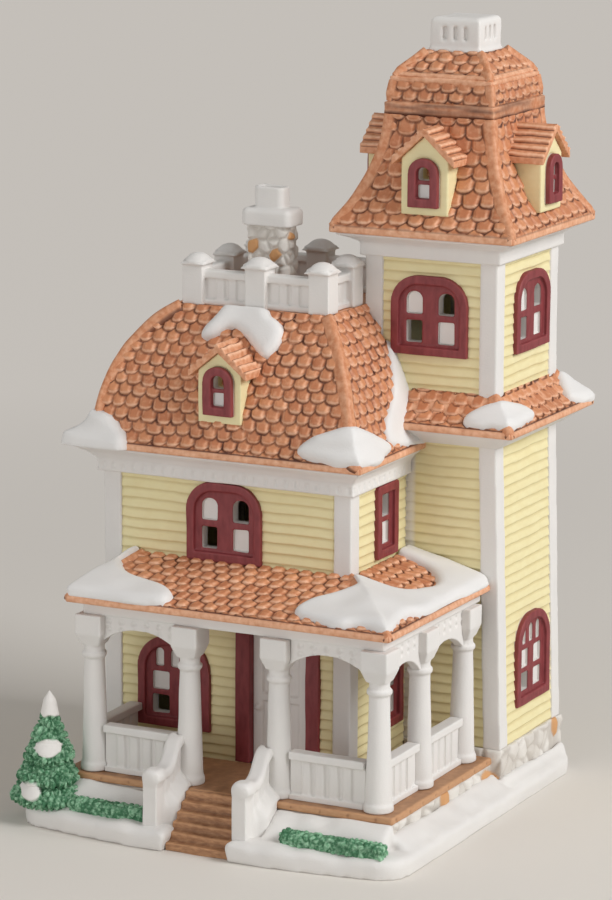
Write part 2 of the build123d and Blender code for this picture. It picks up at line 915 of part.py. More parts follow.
def make_railing(axis, line, start, end, foot=None, height=None, pitch=None):
    """A closed panel with balusters in relief between a cap rail and a foot rail."""
    foot = deck_top if foot is None else foot
    height = rail_height if height is None else height
    pitch = baluster_pitch if pitch is None else pitch

    def bar(low, high, width, z_low, z_high):
        across = (line - width / 2, line + width / 2)
        spans = ((low, high), across) if axis == 0 else (across, (low, high))
        return block(spans[0], spans[1], (z_low, z_high))
    top = foot + height
    panel = bar(start, end, rail_panel, foot, top)
    panel += bar(start, end, rail_cap_width, top - rail_cap_height, top)
    panel += bar(start, end, rail_foot_width, foot, foot + rail_foot_height)
    count = max(1, int((end - start - baluster_width) / pitch))
    first = (start + end) / 2 - pitch * (count - 1) / 2
    for number in range(count):
        middle = first + number * pitch
        low = middle - baluster_width / 2
        panel += bar(low, low + baluster_width, baluster_depth, foot, top)
    return panel


# Porch beam on the column heads, and the hipped porch roof above it
def make_beam():
    half = beam_width / 2
    z_span = (column_top, beam_top)
    front = block(
        (column_left - half, column_corner + half), (column_front - half, column_front + half), z_span)
    right = block(
        (column_corner - half, column_corner + half),
        (column_front + half, tower_front - board_proud), z_span)
    left = block(
        (column_left - half, column_left + half), (column_front + half, main_front - board_proud), z_span)
    return group(front, right, left)


def porch_part(shape):
    """Split a shape over the porch at the hip between its front and its right side."""
    reach_x = porch_right - main_right
    reach_y = main_front - porch_front
    hip_end = (porch_right + reach_x, porch_front - reach_y)
    front_side = prism(
        2, [(-far, hip_end[1]), hip_end, (main_right, main_front), (-far, main_front)], 0, far)
    right_side = prism(
        2, [hip_end, (far, hip_end[1]), (far, far), (main_right, far), (main_right, main_front)], 0, far)
    return shape & front_side, shape & right_side


def make_porch_roof():
    roof = porch_form() - main_room - tower_room
    front, right = porch_part(roof)
    return group(front, right)


def make_porch_snow():
    layer = porch_form(snow_depth) - porch_form() - main_room - tower_room
    edge_z = beam_top + porch_roof_edge
    z_span = (edge_z, far)
    left_drift = prism(2, [(porch_left + x, porch_front + y) for x, y in porch_left_drift], *z_span)
    outline = [(porch_right + x, porch_front + y) for x, y in porch_right_drift_eave]
    outline += [(porch_right + x, tower_front + y) for x, y in porch_right_drift_tower]
    outline += [(porch_right + x, porch_front + y) for x, y in porch_right_drift_edge]
    right_drift = prism(2, outline, *z_span)
    front, right = porch_part(layer & right_drift)
    return group(layer & left_drift, front, right)


# Main walls: four clapboard panels between white corner boards
door_frame_low = door_left - jamb_width
front_lower_middle = (main_left + board_width + door_frame_low) / 2 - front_lower_shift
window_front_upper = set_window(pair_window, "front", main_middle - front_upper_shift, main_front, upper_sill)
window_front_lower = set_window(hall_window, "front", front_lower_middle, main_front, lower_sill)
window_right_upper = set_window(
    slim_window, "right", main_front + right_upper_offset, main_right, right_upper_sill)
window_right_lower = set_window(
    slim_window, "right", main_front + right_lower_offset, main_right, right_lower_sill)
window_left_upper = set_window(pair_window, "left", main_front + main_depth / 2, main_left, upper_sill)
window_left_lower = set_window(hall_window, "left", main_front + main_depth / 2, main_left, lower_sill)
window_rear_upper = set_window(pair_window, "rear", lamp_x, main_back, upper_sill)
window_tower_front = set_window(pair_window, "front", tower_x + tower_front_offset, tower_front, tower_sill)
window_tower_right = set_window(pair_window, "right", tower_y + tower_right_offset, tower_right, tower_sill)
window_tower_hall = set_window(
    hall_window, "right", tower_y + tower_hall_offset, tower_right_at(tower_lower_sill + hall_height / 2),
    tower_lower_sill, wall_thickness + tower_batter)
window_tower_rear = set_window(pair_window, "rear", tower_x, tower_back, tower_sill)

door_foot = deck_top
door_hole = block(
    (door_left, door_left + door_width), (main_front - far, main_front + wall_thickness),
    (door_foot, door_foot + door_height))
door_frame_high = door_left + door_width + jamb_width
door_frame_top = door_foot + door_height + jamb_width / 2


def make_door():
    face = main_front + door_recess
    leaf = block(
        (door_left, door_left + door_width), (face, face + door_thickness),
        (door_foot, door_foot + door_height))
    inner_low = door_left + door_panel_margin
    inner_high = door_left + door_width - door_panel_margin
    half = door_foot + door_height / 2
    lower_panel = (door_foot + door_panel_margin, half - door_middle_rail / 2)
    upper_panel = (half + door_middle_rail / 2, door_foot + door_height - door_panel_margin)
    for z_span in (lower_panel, upper_panel):
        leaf -= block((inner_low, inner_high), (face - door_panel_depth, face + door_panel_depth), z_span)
    knob = Pos(door_left + knob_inset, face, door_foot + knob_height) * Sphere(knob_diameter / 2)
    return leaf + knob


def make_door_frame():
    face = main_front - jamb_proud
    outer = block(
        (door_frame_low, door_frame_high), (face, main_front + wall_thickness), (door_foot, door_frame_top))
    return outer - door_hole


def make_front_wall():
    wall = siding(
        0, -1, main_front, main_front, main_front + wall_thickness, foundation_top, main_eave,
        main_left + board_width, main_right - board_width)
    door_room = block(
        (door_frame_low, door_frame_high), (main_front - far, main_front + wall_thickness),
        (door_foot, door_frame_top))
    return without(wall, window_front_upper[1], window_front_lower[1], door_room)


def make_left_wall():
    wall = siding(
        1, -1, main_left, main_left, main_left + wall_thickness, foundation_top, main_eave,
        main_front + board_width, main_back - board_width)
    return without(wall, window_left_upper[1], window_left_lower[1])


def make_right_wall():
    wall = siding(
        1, 1, main_right, main_right, main_right - wall_thickness, foundation_top, main_eave,
        main_front + board_width, tower_front - board_proud)
    return without(wall, window_right_upper[1], window_right_lower[1])


def make_rear_wall():
    wall = siding(
        0, 1, main_back, main_back, main_back - wall_thickness, foundation_top, main_eave,
        main_left + board_width, tower_left - board_width)
    hole = Pos(lamp_x, main_back, lamp_z) * Rot(90, 0, 0) * Cylinder(lamp_hole / 2, 4 * wall_thickness)
    return without(wall, window_rear_upper[1], hole)


def corner_board(x, y, x_in, y_in, z_span):
    """A square post at a corner; x_in and y_in point into the house."""
    x_out = x - x_in * board_proud
    y_out = y - y_in * board_proud
    x_back = x + x_in * board_width
    y_back = y + y_in * board_width
    return block(sorted((x_out, x_back)), sorted((y_out, y_back)), z_span)


def make_main_boards():
    z_span = (foundation_top, main_eave)
    rear_seam = block(
        (tower_left - board_width, tower_left), (main_back - wall_thickness, main_back + board_proud), z_span)
    return group(
        corner_board(main_left, main_front, 1, 1, z_span),
        corner_board(main_right, main_front, -1, 1, z_span),
        corner_board(main_left, main_back, 1, -1, z_span),
        rear_seam)


main_inner = (
    main_left - board_proud, main_right + board_proud, main_front - board_proud, main_back + board_proud)
main_outer = (eave_left, eave_right, eave_front, eave_rear)


def cornice_profile(drop, top):
    """Frieze board, then a crown that swells out to a square lip under the roof's edge."""
    crown_foot = top - drop + frieze_height
    return [
        (0, 0, top - drop), (0, frieze_proud, top - drop), (0, frieze_proud, crown_foot),
        (cornice_waist_out, 0, crown_foot + cornice_waist_up * (drop - frieze_height)),
        (cornice_reach, 0, top - cornice_lip), (cornice_reach, 0, top), (0, 0, top)]


def make_main_cornice():
    ring = mitred_ring(main_inner, main_outer, cornice_profile(cornice_drop, main_eave))
    return group(*(without(piece, tower_room) for piece in ring.values()))


def leaning_block(x_low, x_high, y_low, y_high, z_low, z_high):
    """A straight-sided form with leaning sides; each place is (at foot, at top)."""
    def outline(low, high):
        return [(low[0], z_low), (high[0], z_low), (high[1], z_high), (low[1], z_high)]
    return prism(1, outline(x_low, x_high), -far, far) & prism(0, outline(y_low, y_high), -far, far)


def make_main_roof():
    hollow = main_roof_form(-roof_shell, main_eave - 3 * roof_shell)
    return without(main_roof_form(), hollow, tower_room, window_tower_front[1])


# Dormers: a small gabled box with an arched window, and a lapped gable roof over it
def dormer_box(width, face, sill, eave, peak, depth):
    half = width / 2
    points = [(-half, sill), (half, sill), (half, eave), (0, peak), (-half, eave)]
    return prism(1, points, -face, -face + depth)


def dormer_roof(width, face, eave, peak, depth):
    """Two slopes over a dormer, each with lapped courses that run with the ridge."""
    half = width / 2
    pitch = (peak - eave) / half
    tip = half + gable_side_out
    tip_z = eave - gable_side_out * pitch
    thick = gable_thickness * math.sqrt(1 + pitch * pitch)
    points = [(0, peak), (tip, tip_z), (tip, tip_z + gable_edge), (0, peak + thick)]
    mirrored = [(-x, z) for x, z in points]
    right = prism(1, points, -face - gable_front_out, -face + depth)
    return right + prism(1, mirrored, -face - gable_front_out, -face + depth)


def dormer_light(face, sill):
    """The dormer's window: its frame, panes and the pocket that it fills."""
    place = facing("front", 0.0, -face, sill + dormer_window_rise)
    pocket = place * dormer_window.opening(dormer_wall)
    middle, low, width, height, radius, pierced = dormer_window.lights[-1]
    deep = dormer_window.pushed(arched(width, height, radius, low, middle), -3 * dormer_wall, 0)
    return place * dormer_window.frame(dormer_wall), [place * pane for pane in dormer_window.panes()], \
        pocket, place * deep


dormer_windows = []
main_dormer_place = Pos(main_dormer_middle, 0, 0)


def make_main_dormer():
    frame, panes, pocket, deep = dormer_light(-main_dormer_face, main_dormer_sill)
    box = dormer_box(
        main_dormer_width, -main_dormer_face, main_dormer_sill, main_dormer_eave, main_dormer_peak,
        main_dormer_depth)
    closed_panes.extend((main_dormer_place * pane) - main_roof_form() for pane in panes)
    dormer_windows.append((main_dormer_place * frame) - main_roof_form())
    return without(main_dormer_place * without(box, pocket, deep), main_roof_form())


def make_main_dormer_roof():
    roof = dormer_roof(
        main_dormer_width, -main_dormer_face, main_dormer_eave, main_dormer_peak, main_dormer_depth)
    return (main_dormer_place * roof) - main_roof_form()


tower_places = [Pos(tower_x, tower_y, 0) * Rot(0, 0, turn) for turn in (0, 90, 180, 270)]
tower_dormer_faces = [
    tower_dormer_front_face, tower_dormer_side_face, tower_dormer_front_face, tower_dormer_side_face]


def make_tower_dormers():
    boxes = []
    for place, face in zip(tower_places, tower_dormer_faces):
        frame, panes, pocket, deep = dormer_light(face, tower_dormer_sill)
        box = dormer_box(
            tower_dormer_width, face, tower_dormer_sill, tower_dormer_eave, tower_dormer_peak,
            tower_dormer_depth)
        box = without(box, pocket, deep)
        boxes.append((place * box) - tower_roof_form())
        dormer_windows.append((place * frame) - tower_roof_form())
        closed_panes.extend((place * pane) - tower_roof_form() for pane in panes)
    return group(*boxes)


def make_tower_dormer_roofs():
    roofs = []
    for place, face in zip(tower_places, tower_dormer_faces):
        roof = dormer_roof(
            tower_dormer_width, face, tower_dormer_eave, tower_dormer_peak, tower_dormer_depth)
        roofs.append((place * roof) - make_tower_roof_skin())
    return group(*roofs)


# Snow on the main roof: two corner drifts, one against the tower, one above the dormer
def make_main_roof_snow(dormer, gable):
    layer = main_roof_form(snow_depth) - main_roof_form() - tower_room
    low = main_eave + roof_edge
    cone = Cone(main_drift_radius, main_drift_top, main_drift_height)
    corner_left = Pos(eave_left, eave_front, low + main_drift_height / 2) * cone
    corner_right = Pos(eave_right, eave_front, low + main_drift_height / 2) * cone
    wall_line = tower_front - board_proud
    strip = prism(0, [(wall_line + y, low + z) for y, z in tower_drift], main_right - tower_drift_length, far)
    drift = prism(
        1, [(main_dormer_middle + x, roof_top + z) for x, z in ridge_drift],
        eave_front, platform_front + snow_depth)
    near_tower = without(layer & strip, skirt_form(), window_tower_front[1], *make_skirt_cornice().solids())
    patches = [layer & patch for patch in (corner_left, corner_right, drift)]
    return group(near_tower, *(without(patch, dormer, gable) for patch in patches))


# Balustrade round the flat roof, with snow-capped posts, and the chimney inside it
def make_balustrade():
    near = platform_front + balustrade_inset
    back = platform_rear - balustrade_inset
    left = platform_left + balustrade_inset
    right = platform_right - balustrade_inset
    half = post_width / 2
    middle_x = (left + right) / 2
    middle_y = (near + back) / 2
    tower_end = tower_front - board_proud - half
    posts = [(left, near), (middle_x, near), (right, near), (left, middle_y), (left, back), (middle_x, back),
             (right, back), (right, tower_end)]
    runs = [
        (0, near, left, middle_x), (0, near, middle_x, right),
        (0, back, left, middle_x), (0, back, middle_x, right),
        (1, left, near, middle_y), (1, left, middle_y, back), (1, right, near, tower_end)]
    pieces = [make_post(x, y) for x, y in posts]
    for axis, line, start, end in runs:
        pieces.append(make_railing(
            axis, line, start + half, end - half, roof_top, balustrade_height, balustrade_pitch))
    return group(*pieces)


def make_post(x, y):
    shaft = Pos(x, y, roof_top + post_height / 2) * Box(post_width, post_width, post_height)
    cap = Pos(x, y, roof_top + post_height + post_cap_height / 2) * Box(
        post_cap_width, post_cap_width, post_cap_height)
    cap = fillet(cap.faces().sort_by(Axis.Z)[-1].edges(), post_cap_radius)
    trim = block((platform_left, platform_right), (-far, tower_front - board_proud), (0, far))
    trim += block((platform_left, tower_left - board_proud), (-far, far), (0, far))
    return (shaft + cap) & trim


def make_chimney():
    stack = Pos(chimney_x, chimney_y, roof_top + chimney_height / 2) * Box(
        chimney_width, chimney_depth, chimney_height)
    return fillet(stack.edges().filter_by(Axis.Z), chimney_corner)


def make_chimney_cap():
    foot = roof_top + chimney_height
    cap = Pos(chimney_x, chimney_y, foot + chimney_cap_height / 2) * Box(
        chimney_cap_width, chimney_cap_depth, chimney_cap_height)
    cap = fillet(cap.edges().filter_by(Axis.Z), chimney_cap_corner)
    cap = fillet(cap.faces().sort_by(Axis.Z)[-1].edges(), chimney_cap_top_radius)
    flue = Pos(chimney_x, chimney_y, foot + chimney_cap_height + flue_height / 2) * Box(
        flue_width, flue_depth, flue_height)
    flue = fillet(flue.edges().filter_by(Axis.Z), flue_corner)
    bore = Pos(chimney_x, chimney_y, foot + chimney_cap_height + flue_height) * Box(
        flue_width - 2 * flue_wall, flue_depth - 2 * flue_wall, flue_height)
    return cap + flue - bore


# Tower: a leaning lower part, a straight upper part and white boards at their corners
def make_tower_lower():
    z_low = tower_foundation_top
    z_high = tower_lower_top
    board_line = prism(1, [
        (-far, z_low), (tower_right_at(z_low) - board_width, z_low),
        (tower_right_at(z_high) - board_width, z_high), (-far, z_high)], -far, far)
    front = siding(
        0, -1, tower_front, tower_front, tower_front + wall_thickness, z_low, z_high,
        main_right + board_proud, tower_foot_right)
    rear = siding(
        0, 1, tower_back, tower_back, tower_back - wall_thickness, z_low, z_high,
        tower_left, tower_foot_right)
    right = siding(
        1, 1, tower_right_at(z_low), tower_right_at(z_high), tower_right - wall_thickness, z_low, z_high,
        tower_front + board_width, tower_back - board_width)
    return group(front & board_line, rear & board_line, right - window_tower_hall[1])


def make_tower_upper():
    z_span = (tower_lower_top, tower_wall_top)
    x_span = (tower_left + board_width, tower_right - board_width)
    y_span = (tower_front + board_width, tower_back - board_width)
    front = siding(0, -1, tower_front, tower_front, tower_front + wall_thickness, *z_span, *x_span)
    rear = siding(0, 1, tower_back, tower_back, tower_back - wall_thickness, *z_span, *x_span)
    left = siding(1, -1, tower_left, tower_left, tower_left + wall_thickness, *z_span, *y_span)
    right = siding(1, 1, tower_right, tower_right, tower_right - wall_thickness, *z_span, *y_span)
    return group(
        front - window_tower_front[1], rear - window_tower_rear[1], left, right - window_tower_right[1])


def make_tower_boards():
    z_low = tower_foundation_top
    z_high = tower_lower_top
    leaning = [
        (tower_right_at(z_low) - board_width, z_low), (tower_right_at(z_low) + board_proud, z_low),
        (tower_right_at(z_high) + board_proud, z_high), (tower_right_at(z_high) - board_width, z_high)]
    front_lower = prism(1, leaning, tower_front - board_proud, tower_front + board_width)
    rear_lower = prism(1, leaning, tower_back - board_width, tower_back + board_proud)
    z_span = (tower_lower_top, tower_wall_top)
    return group(
        front_lower, rear_lower,
        corner_board(tower_left, tower_front, 1, 1, z_span),
        corner_board(tower_right, tower_front, -1, 1, z_span),
        corner_board(tower_left, tower_back, 1, -1, z_span),
        corner_board(tower_right, tower_back, -1, -1, z_span))


tower_inner = (
    tower_left - board_proud, tower_right + board_proud, tower_front - board_proud, tower_back + board_proud)


def make_skirt_cornice():
    """A plain white moulding under the skirt roof, on the sides that stand clear of the main roof."""
    outer = (skirt_eave_x[0], skirt_eave_x[1], skirt_eave_y[0], skirt_eave_y[1])
    top = tower_lower_top
    profile = [
        (0, 0, top - skirt_drop), (skirt_moulding_foot, 0, top - skirt_drop),
        (skirt_moulding_reach, 0, top - cornice_lip), (skirt_moulding_reach, 0, top), (0, 0, top)]
    ring = mitred_ring(tower_inner, outer, profile)
    lean = prism(1, [
        (-far, 0), (tower_right_at(0) + board_proud, 0),
        (tower_right_at(far) + board_proud, far), (-far, far)],
        tower_front - board_proud, tower_back + board_proud)
    rear_clear = block((-far, tower_left), (tower_back, far), (0, far))
    pieces = [without(ring[side], lean, main_roof_form(), rear_clear) for side in ("front", "right", "rear")]
    return group(*pieces)


def skirt_sides(shape):
    """Split a ring round the tower at its hips, and keep the three sides that show."""
    out = far
    front = prism(2, [
        (tower_inner[0] - out, tower_inner[2] - out), (tower_inner[1] + out, tower_inner[2] - out),
        (tower_inner[1], tower_inner[2]), (tower_inner[0], tower_inner[2])], 0, far)
    right = prism(2, [
        (tower_inner[1] + out, tower_inner[2] - out), (tower_inner[1] + out, tower_inner[3] + out),
        (tower_inner[1], tower_inner[3]), (tower_inner[1], tower_inner[2])], 0, far)
    rear = prism(2, [
        (tower_inner[1] + out, tower_inner[3] + out), (tower_left, tower_inner[3] + out),
        (tower_left, tower_inner[3]), (tower_inner[1], tower_inner[3])], 0, far)
    return [shape & side for side in (front, right, rear)]


def make_skirt_roof():
    ring = without(skirt_form(), tower_shaft, main_roof_form())
    return group(*skirt_sides(ring))


def make_skirt_snow():
    layer = without(skirt_form(snow_depth), skirt_form(), tower_shaft, main_roof_form(snow_depth))
    low = tower_lower_top + skirt_edge
    cone = Cone(skirt_drift_radius, skirt_drift_top, skirt_drift_height)
    front_corner = Pos(skirt_eave_x[1], skirt_eave_y[0], low + skirt_drift_height / 2) * cone
    rear_corner = Pos(skirt_eave_x[1], skirt_eave_y[1], low + skirt_drift_height / 2) * cone
    return group(layer & front_corner, layer & rear_corner)


def make_tower_cornice():
    outer = (tower_eave_x[0], tower_eave_x[1], tower_eave_y[0], tower_eave_y[1])
    ring = mitred_ring(tower_inner, outer, cornice_profile(tower_cornice_drop, tower_wall_top))
    return group(*ring.values())


belt_foot = tower_wall_top + tower_roof_height
crown_foot = belt_foot + belt_height
lip_foot = crown_foot + crown_height
slope_foot = lip_foot + crown_lip_height
cap_foot = slope_foot + crown_slope_height


def square_slab(extra, z_low, z_high, extra_top=None):
    """A level of the tower roof; extra is how far it stands out past the concave slopes' top."""
    extra_top = extra if extra_top is None else extra_top
    x_ends = (tower_eave_x[0] + tower_roof_run, tower_eave_x[1] - tower_roof_run)
    y_ends = (tower_eave_y[0] + tower_roof_run, tower_eave_y[1] - tower_roof_run)
    return leaning_block(
        (x_ends[0] - extra, x_ends[0] - extra_top), (x_ends[1] + extra, x_ends[1] + extra_top),
        (y_ends[0] - extra, y_ends[0] - extra_top), (y_ends[1] + extra, y_ends[1] + extra_top), z_low, z_high)


def make_tower_roof_skin():
    """The tower roof's outer form: concave slopes, belt, battered crown, lip and top slope."""
    top_x = tower_eave_x[0] + tower_roof_run - (tower_x - cap_half - cap_flare)
    top_y = tower_eave_y[0] + tower_roof_run - (tower_y - cap_half - cap_flare)
    lip = crown_lip_proud - crown_batter
    slope = leaning_block(
        (tower_eave_x[0] + tower_roof_run + crown_batter, tower_eave_x[0] + tower_roof_run - top_x),
        (tower_eave_x[1] - tower_roof_run - crown_batter, tower_eave_x[1] - tower_roof_run + top_x),
        (tower_eave_y[0] + tower_roof_run + crown_batter, tower_eave_y[0] + tower_roof_run - top_y),
        (tower_eave_y[1] - tower_roof_run - crown_batter, tower_eave_y[1] - tower_roof_run + top_y),
        slope_foot, cap_foot)
    skin = tower_roof_form() + square_slab(belt_proud, belt_foot, crown_foot)
    skin += square_slab(0.0, crown_foot, lip_foot, -crown_batter)
    return skin + square_slab(lip, lip_foot, slope_foot) + slope


def make_tower_roof():
    hollow = tower_roof_form(-roof_shell, tower_wall_top - 3 * roof_shell)
    crown_hollow = square_slab(-roof_shell, belt_foot - 2 * roof_shell, lip_foot)
    return without(make_tower_roof_skin(), hollow, crown_hollow)


def make_tower_cap():
    """A square lantern block with three blind slots on each face."""
    foot_half = cap_half + cap_flare
    low = leaning_block(
        (tower_x - foot_half, tower_x - cap_half), (tower_x + foot_half, tower_x + cap_half),
        (tower_y - foot_half, tower_y - cap_half), (tower_y + foot_half, tower_y + cap_half),
        cap_foot, cap_foot + cap_flare_height)
    rest = cap_foot + cap_flare_height
    body = block(
        (tower_x - cap_half, tower_x + cap_half), (tower_y - cap_half, tower_y + cap_half),
        (rest, cap_foot + cap_height))
    body = fillet(body.faces().sort_by(Axis.Z)[-1].edges(), cap_top_radius)
    cap = low + body
    slot_z = cap_foot + cap_slot_rise
    for place in tower_places:
        for number in (-1, 0, 1):
            slot = Pos(number * cap_slot_spacing, -cap_half, slot_z) * Box(
                cap_slot_width, 2 * cap_slot_depth, cap_slot_height)
            cap = cap - place * slot
    return cap


# Planting: a tiered fir at the corner, and two clipped hedges along the front
def make_tree():
    tier = tree_height / (tree_tiers + tree_tip_tiers)
    points = [(0.0, base_height), (tree_foot * tree_radius, base_height)]
    for number in range(tree_tiers):
        low = base_height + number * tier
        reach = tree_radius * (1 - number / (tree_tiers + tree_narrowing))
        points.append((reach, low + tier_lip * tier))
        points.append((tier_neck * reach, low + tier_neck_up * tier))
    points.append((0.0, base_height + tree_height))
    turned = [(radius, 0.0, height) for radius, height in points]
    tree = revolve(make_face(Polyline(*turned, close=True).edges()), axis=Axis.Z)
    return Pos(tree_x, tree_y, 0) * tree


def make_hedge(start, end):
    hedge = block(
        (start, end), (hedge_front, hedge_front + hedge_depth), (base_height, base_height + hedge_height))
    upper = hedge.faces().sort_by(Axis.Z)[-1].edges()
    return fillet(upper, hedge_radius)


# Lamp set: a plug-in holder with bow springs in the rear hole, and a small screw bulb
lamp_face = main_back + siding_relief + lamp_clearance
lamp_inner_end = lamp_face - lamp_barrel_length
spring_flat = spring_reach - spring_bow


def lamp_turned(points):
    """A round piece on the lamp's axis; a point is (radius, place along Y)."""
    turned = [(radius, along, 0.0) for radius, along in points]
    solid = revolve(make_face(Polyline(*turned, close=True).edges()), axis=Axis.Y)
    return Pos(lamp_x, 0, lamp_z) * solid


def make_lamp_holder():
    half_barrel = lamp_barrel / 2
    bore = bulb_cap_diameter / 2 + lamp_clearance
    bore_end = lamp_inner_end + bulb_cap_length + lamp_clearance
    back = lamp_face + lamp_flange_thickness
    points = [
        (bore, lamp_inner_end), (half_barrel, lamp_inner_end), (half_barrel, lamp_face),
        (lamp_flange / 2, lamp_face), (lamp_flange / 2, back), (cord_hole / 2, back),
        (cord_hole / 2, bore_end), (bore, bore_end)]
    holder = lamp_turned(points)
    for sign in (-1, 1):
        x_span = sorted((lamp_x + sign * spring_flat, lamp_x + sign * far))
        spring_bed = block(x_span, (lamp_inner_end, lamp_face), (lamp_z - far, lamp_z + far))
        holder = holder - spring_bed
    return holder


def make_lamp_springs():
    """Two bowed leaves on the holder's flats, which grip the hole's wall."""
    end = lamp_face - spring_set_back
    start = end - spring_length
    middle = (start + end) / 2
    leaves = []
    for sign in (-1, 1):
        flat = lamp_x + sign * spring_flat
        crest = lamp_x + sign * spring_reach
        low = lamp_z - spring_width / 2
        outer = ThreePointArc(
            (flat + sign * spring_thickness, start, low), (crest, middle, low),
            (flat + sign * spring_thickness, end, low))
        inner = ThreePointArc(
            (flat, end, low), (crest - sign * spring_thickness, middle, low), (flat, start, low))
        joins = [
            Line((flat + sign * spring_thickness, end, low), (flat, end, low)),
            Line((flat, start, low), (flat + sign * spring_thickness, start, low))]
        leaves.append(push(2, make_face([outer, inner] + joins), spring_width))
    return group(*leaves)


cap_inner_end = lamp_inner_end + bulb_cap_length
glass_foot = lamp_inner_end - lamp_clearance


def make_bulb_cap():
    half = bulb_cap_diameter / 2
    return lamp_turned([
        (0, glass_foot), (half, glass_foot), (half, cap_inner_end - bulb_cap_taper),
        (bulb_insulator / 2, cap_inner_end - bulb_contact_height), (bulb_contact / 2, cap_inner_end),
        (0, cap_inner_end)])


def make_bulb_glass():
    """A pear-shaped glass that swells from the cap to a shoulder and tapers to a round tip."""
    neck = bulb_glass_neck / 2
    half = bulb_diameter / 2
    tip = glass_foot - bulb_length
    shoulder = glass_foot - bulb_shoulder
    tip_middle = tip + bulb_tip_radius
    slant = math.sqrt(0.5) * bulb_tip_radius
    swell = ThreePointArc(
        (neck, glass_foot, 0), (bulb_swell / 2, (glass_foot + shoulder) / 2, 0), (half, shoulder, 0))
    taper = Line((half, shoulder, 0), (bulb_tip_radius, tip_middle, 0))
    crown = ThreePointArc((bulb_tip_radius, tip_middle, 0), (slant, tip_middle - slant, 0), (0, tip, 0))
    middle = Line((0, tip, 0), (0, glass_foot, 0))
    foot = Line((0, glass_foot, 0), (neck, glass_foot, 0))
    glass = revolve(make_face([middle, foot, swell, taper, crown]), axis=Axis.Y)
    return Pos(lamp_x, 0, lamp_z) * glass


os.makedirs("parts", exist_ok=True)

base = make_base()
save("base", base)
save("stone_foundation", make_foundation())
save("porch_deck", make_deck())
save("front_steps", make_steps())

columns = {
    "front_left": make_column(column_left, column_front),
    "stair_left": make_column(stair_column_left, column_front),
    "stair_right": make_column(stair_column_right, column_front),
    "corner": make_column(column_corner, column_front),
    "side_middle": make_column(column_corner, side_column_middle),
    "side_rear": make_column(column_corner, side_column_rear),
}
for name, column in columns.items():
    save("porch_column_" + name, column)
save("stair_wall_left", make_stair_wall(stair_left - stair_wall_width, columns["stair_left"]))
save("stair_wall_right", make_stair_wall(stair_right, columns["stair_right"]))
save("porch_arches", make_arches())

near = column_foot / 2
save("railing_front_left", without(
    make_railing(0, column_front, column_left + near, stair_column_left - near),
    columns["front_left"], columns["stair_left"]))
save("railing_front_right", without(
    make_railing(0, column_front, stair_column_right + near, column_corner - near),
    columns["stair_right"], columns["corner"]))
save("railing_side_front", without(
    make_railing(1, column_corner, column_front + near, side_column_middle - near),
    columns["corner"], columns["side_middle"]))
save("railing_side_rear", without(
    make_railing(1, column_corner, side_column_middle + near, side_column_rear - near),
    columns["side_middle"], columns["side_rear"]))
save("railing_left_end", without(
    make_railing(1, column_left, column_front + near, main_front - frame_proud), columns["front_left"]))
save("porch_beam", make_beam())
save("porch_roof", make_porch_roof())
save("porch_snow", make_porch_snow())

save("front_wall", make_front_wall())
save("left_wall", make_left_wall())
save("right_wall", make_right_wall())
save("rear_wall", make_rear_wall())
save("main_corner_boards", make_main_boards())
save("main_cornice", make_main_cornice())
save("main_roof", make_main_roof())
main_dormer = make_main_dormer()
main_dormer_gable = make_main_dormer_roof()
save("main_dormer", main_dormer)
save("main_dormer_roof", main_dormer_gable)
save("main_roof_snow", make_main_roof_snow(main_dormer, main_dormer_gable))
save("roof_balustrade", make_balustrade())
save("chimney_stack", make_chimney())
save("chimney_cap", make_chimney_cap())

save("tower_lower_walls", make_tower_lower())
save("tower_upper_walls", make_tower_upper())
save("tower_corner_boards", make_tower_boards())
save("tower_skirt_cornice", make_skirt_cornice())
save("tower_skirt_roof", make_skirt_roof())
save("tower_skirt_snow", make_skirt_snow())
save("tower_cornice", make_tower_cornice())
save("tower_roof", make_tower_roof())
save("tower_dormers", make_tower_dormers())
save("tower_dormer_roofs", make_tower_dormer_roofs())
save("tower_cap", make_tower_cap())

save("front_door", make_door())
save("door_frame", make_door_frame())
save("windows_front", group(window_front_upper[0], window_front_lower[0]))
save("windows_right", group(window_right_upper[0], window_right_lower[0]))
save("windows_left", group(window_left_upper[0], window_left_lower[0]))
save("windows_rear", group(window_rear_upper[0], window_tower_rear[0]))
save("windows_tower", group(window_tower_front[0], window_tower_right[0], window_tower_hall[0]))
save("dormer_windows", group(*dormer_windows))
save("closed_panes", group(*closed_panes))

porch_room = block((deck_left, far), (deck_front, far), (0, deck_top))
save("evergreen_tree", without(make_tree(), base, porch_room, columns["front_left"]))
save("hedges", group(
    make_hedge(hedge_left_start, hedge_left_end) - base,
    make_hedge(hedge_right_start, hedge_right_end) - base))

save("lamp_holder", make_lamp_holder())
save("lamp_springs", make_lamp_springs())
save("bulb_cap", make_bulb_cap())
save("bulb_glass", make_bulb_glass())
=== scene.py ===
import itertools
import math

import bmesh
import bpy
import numpy as np
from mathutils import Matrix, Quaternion, Vector


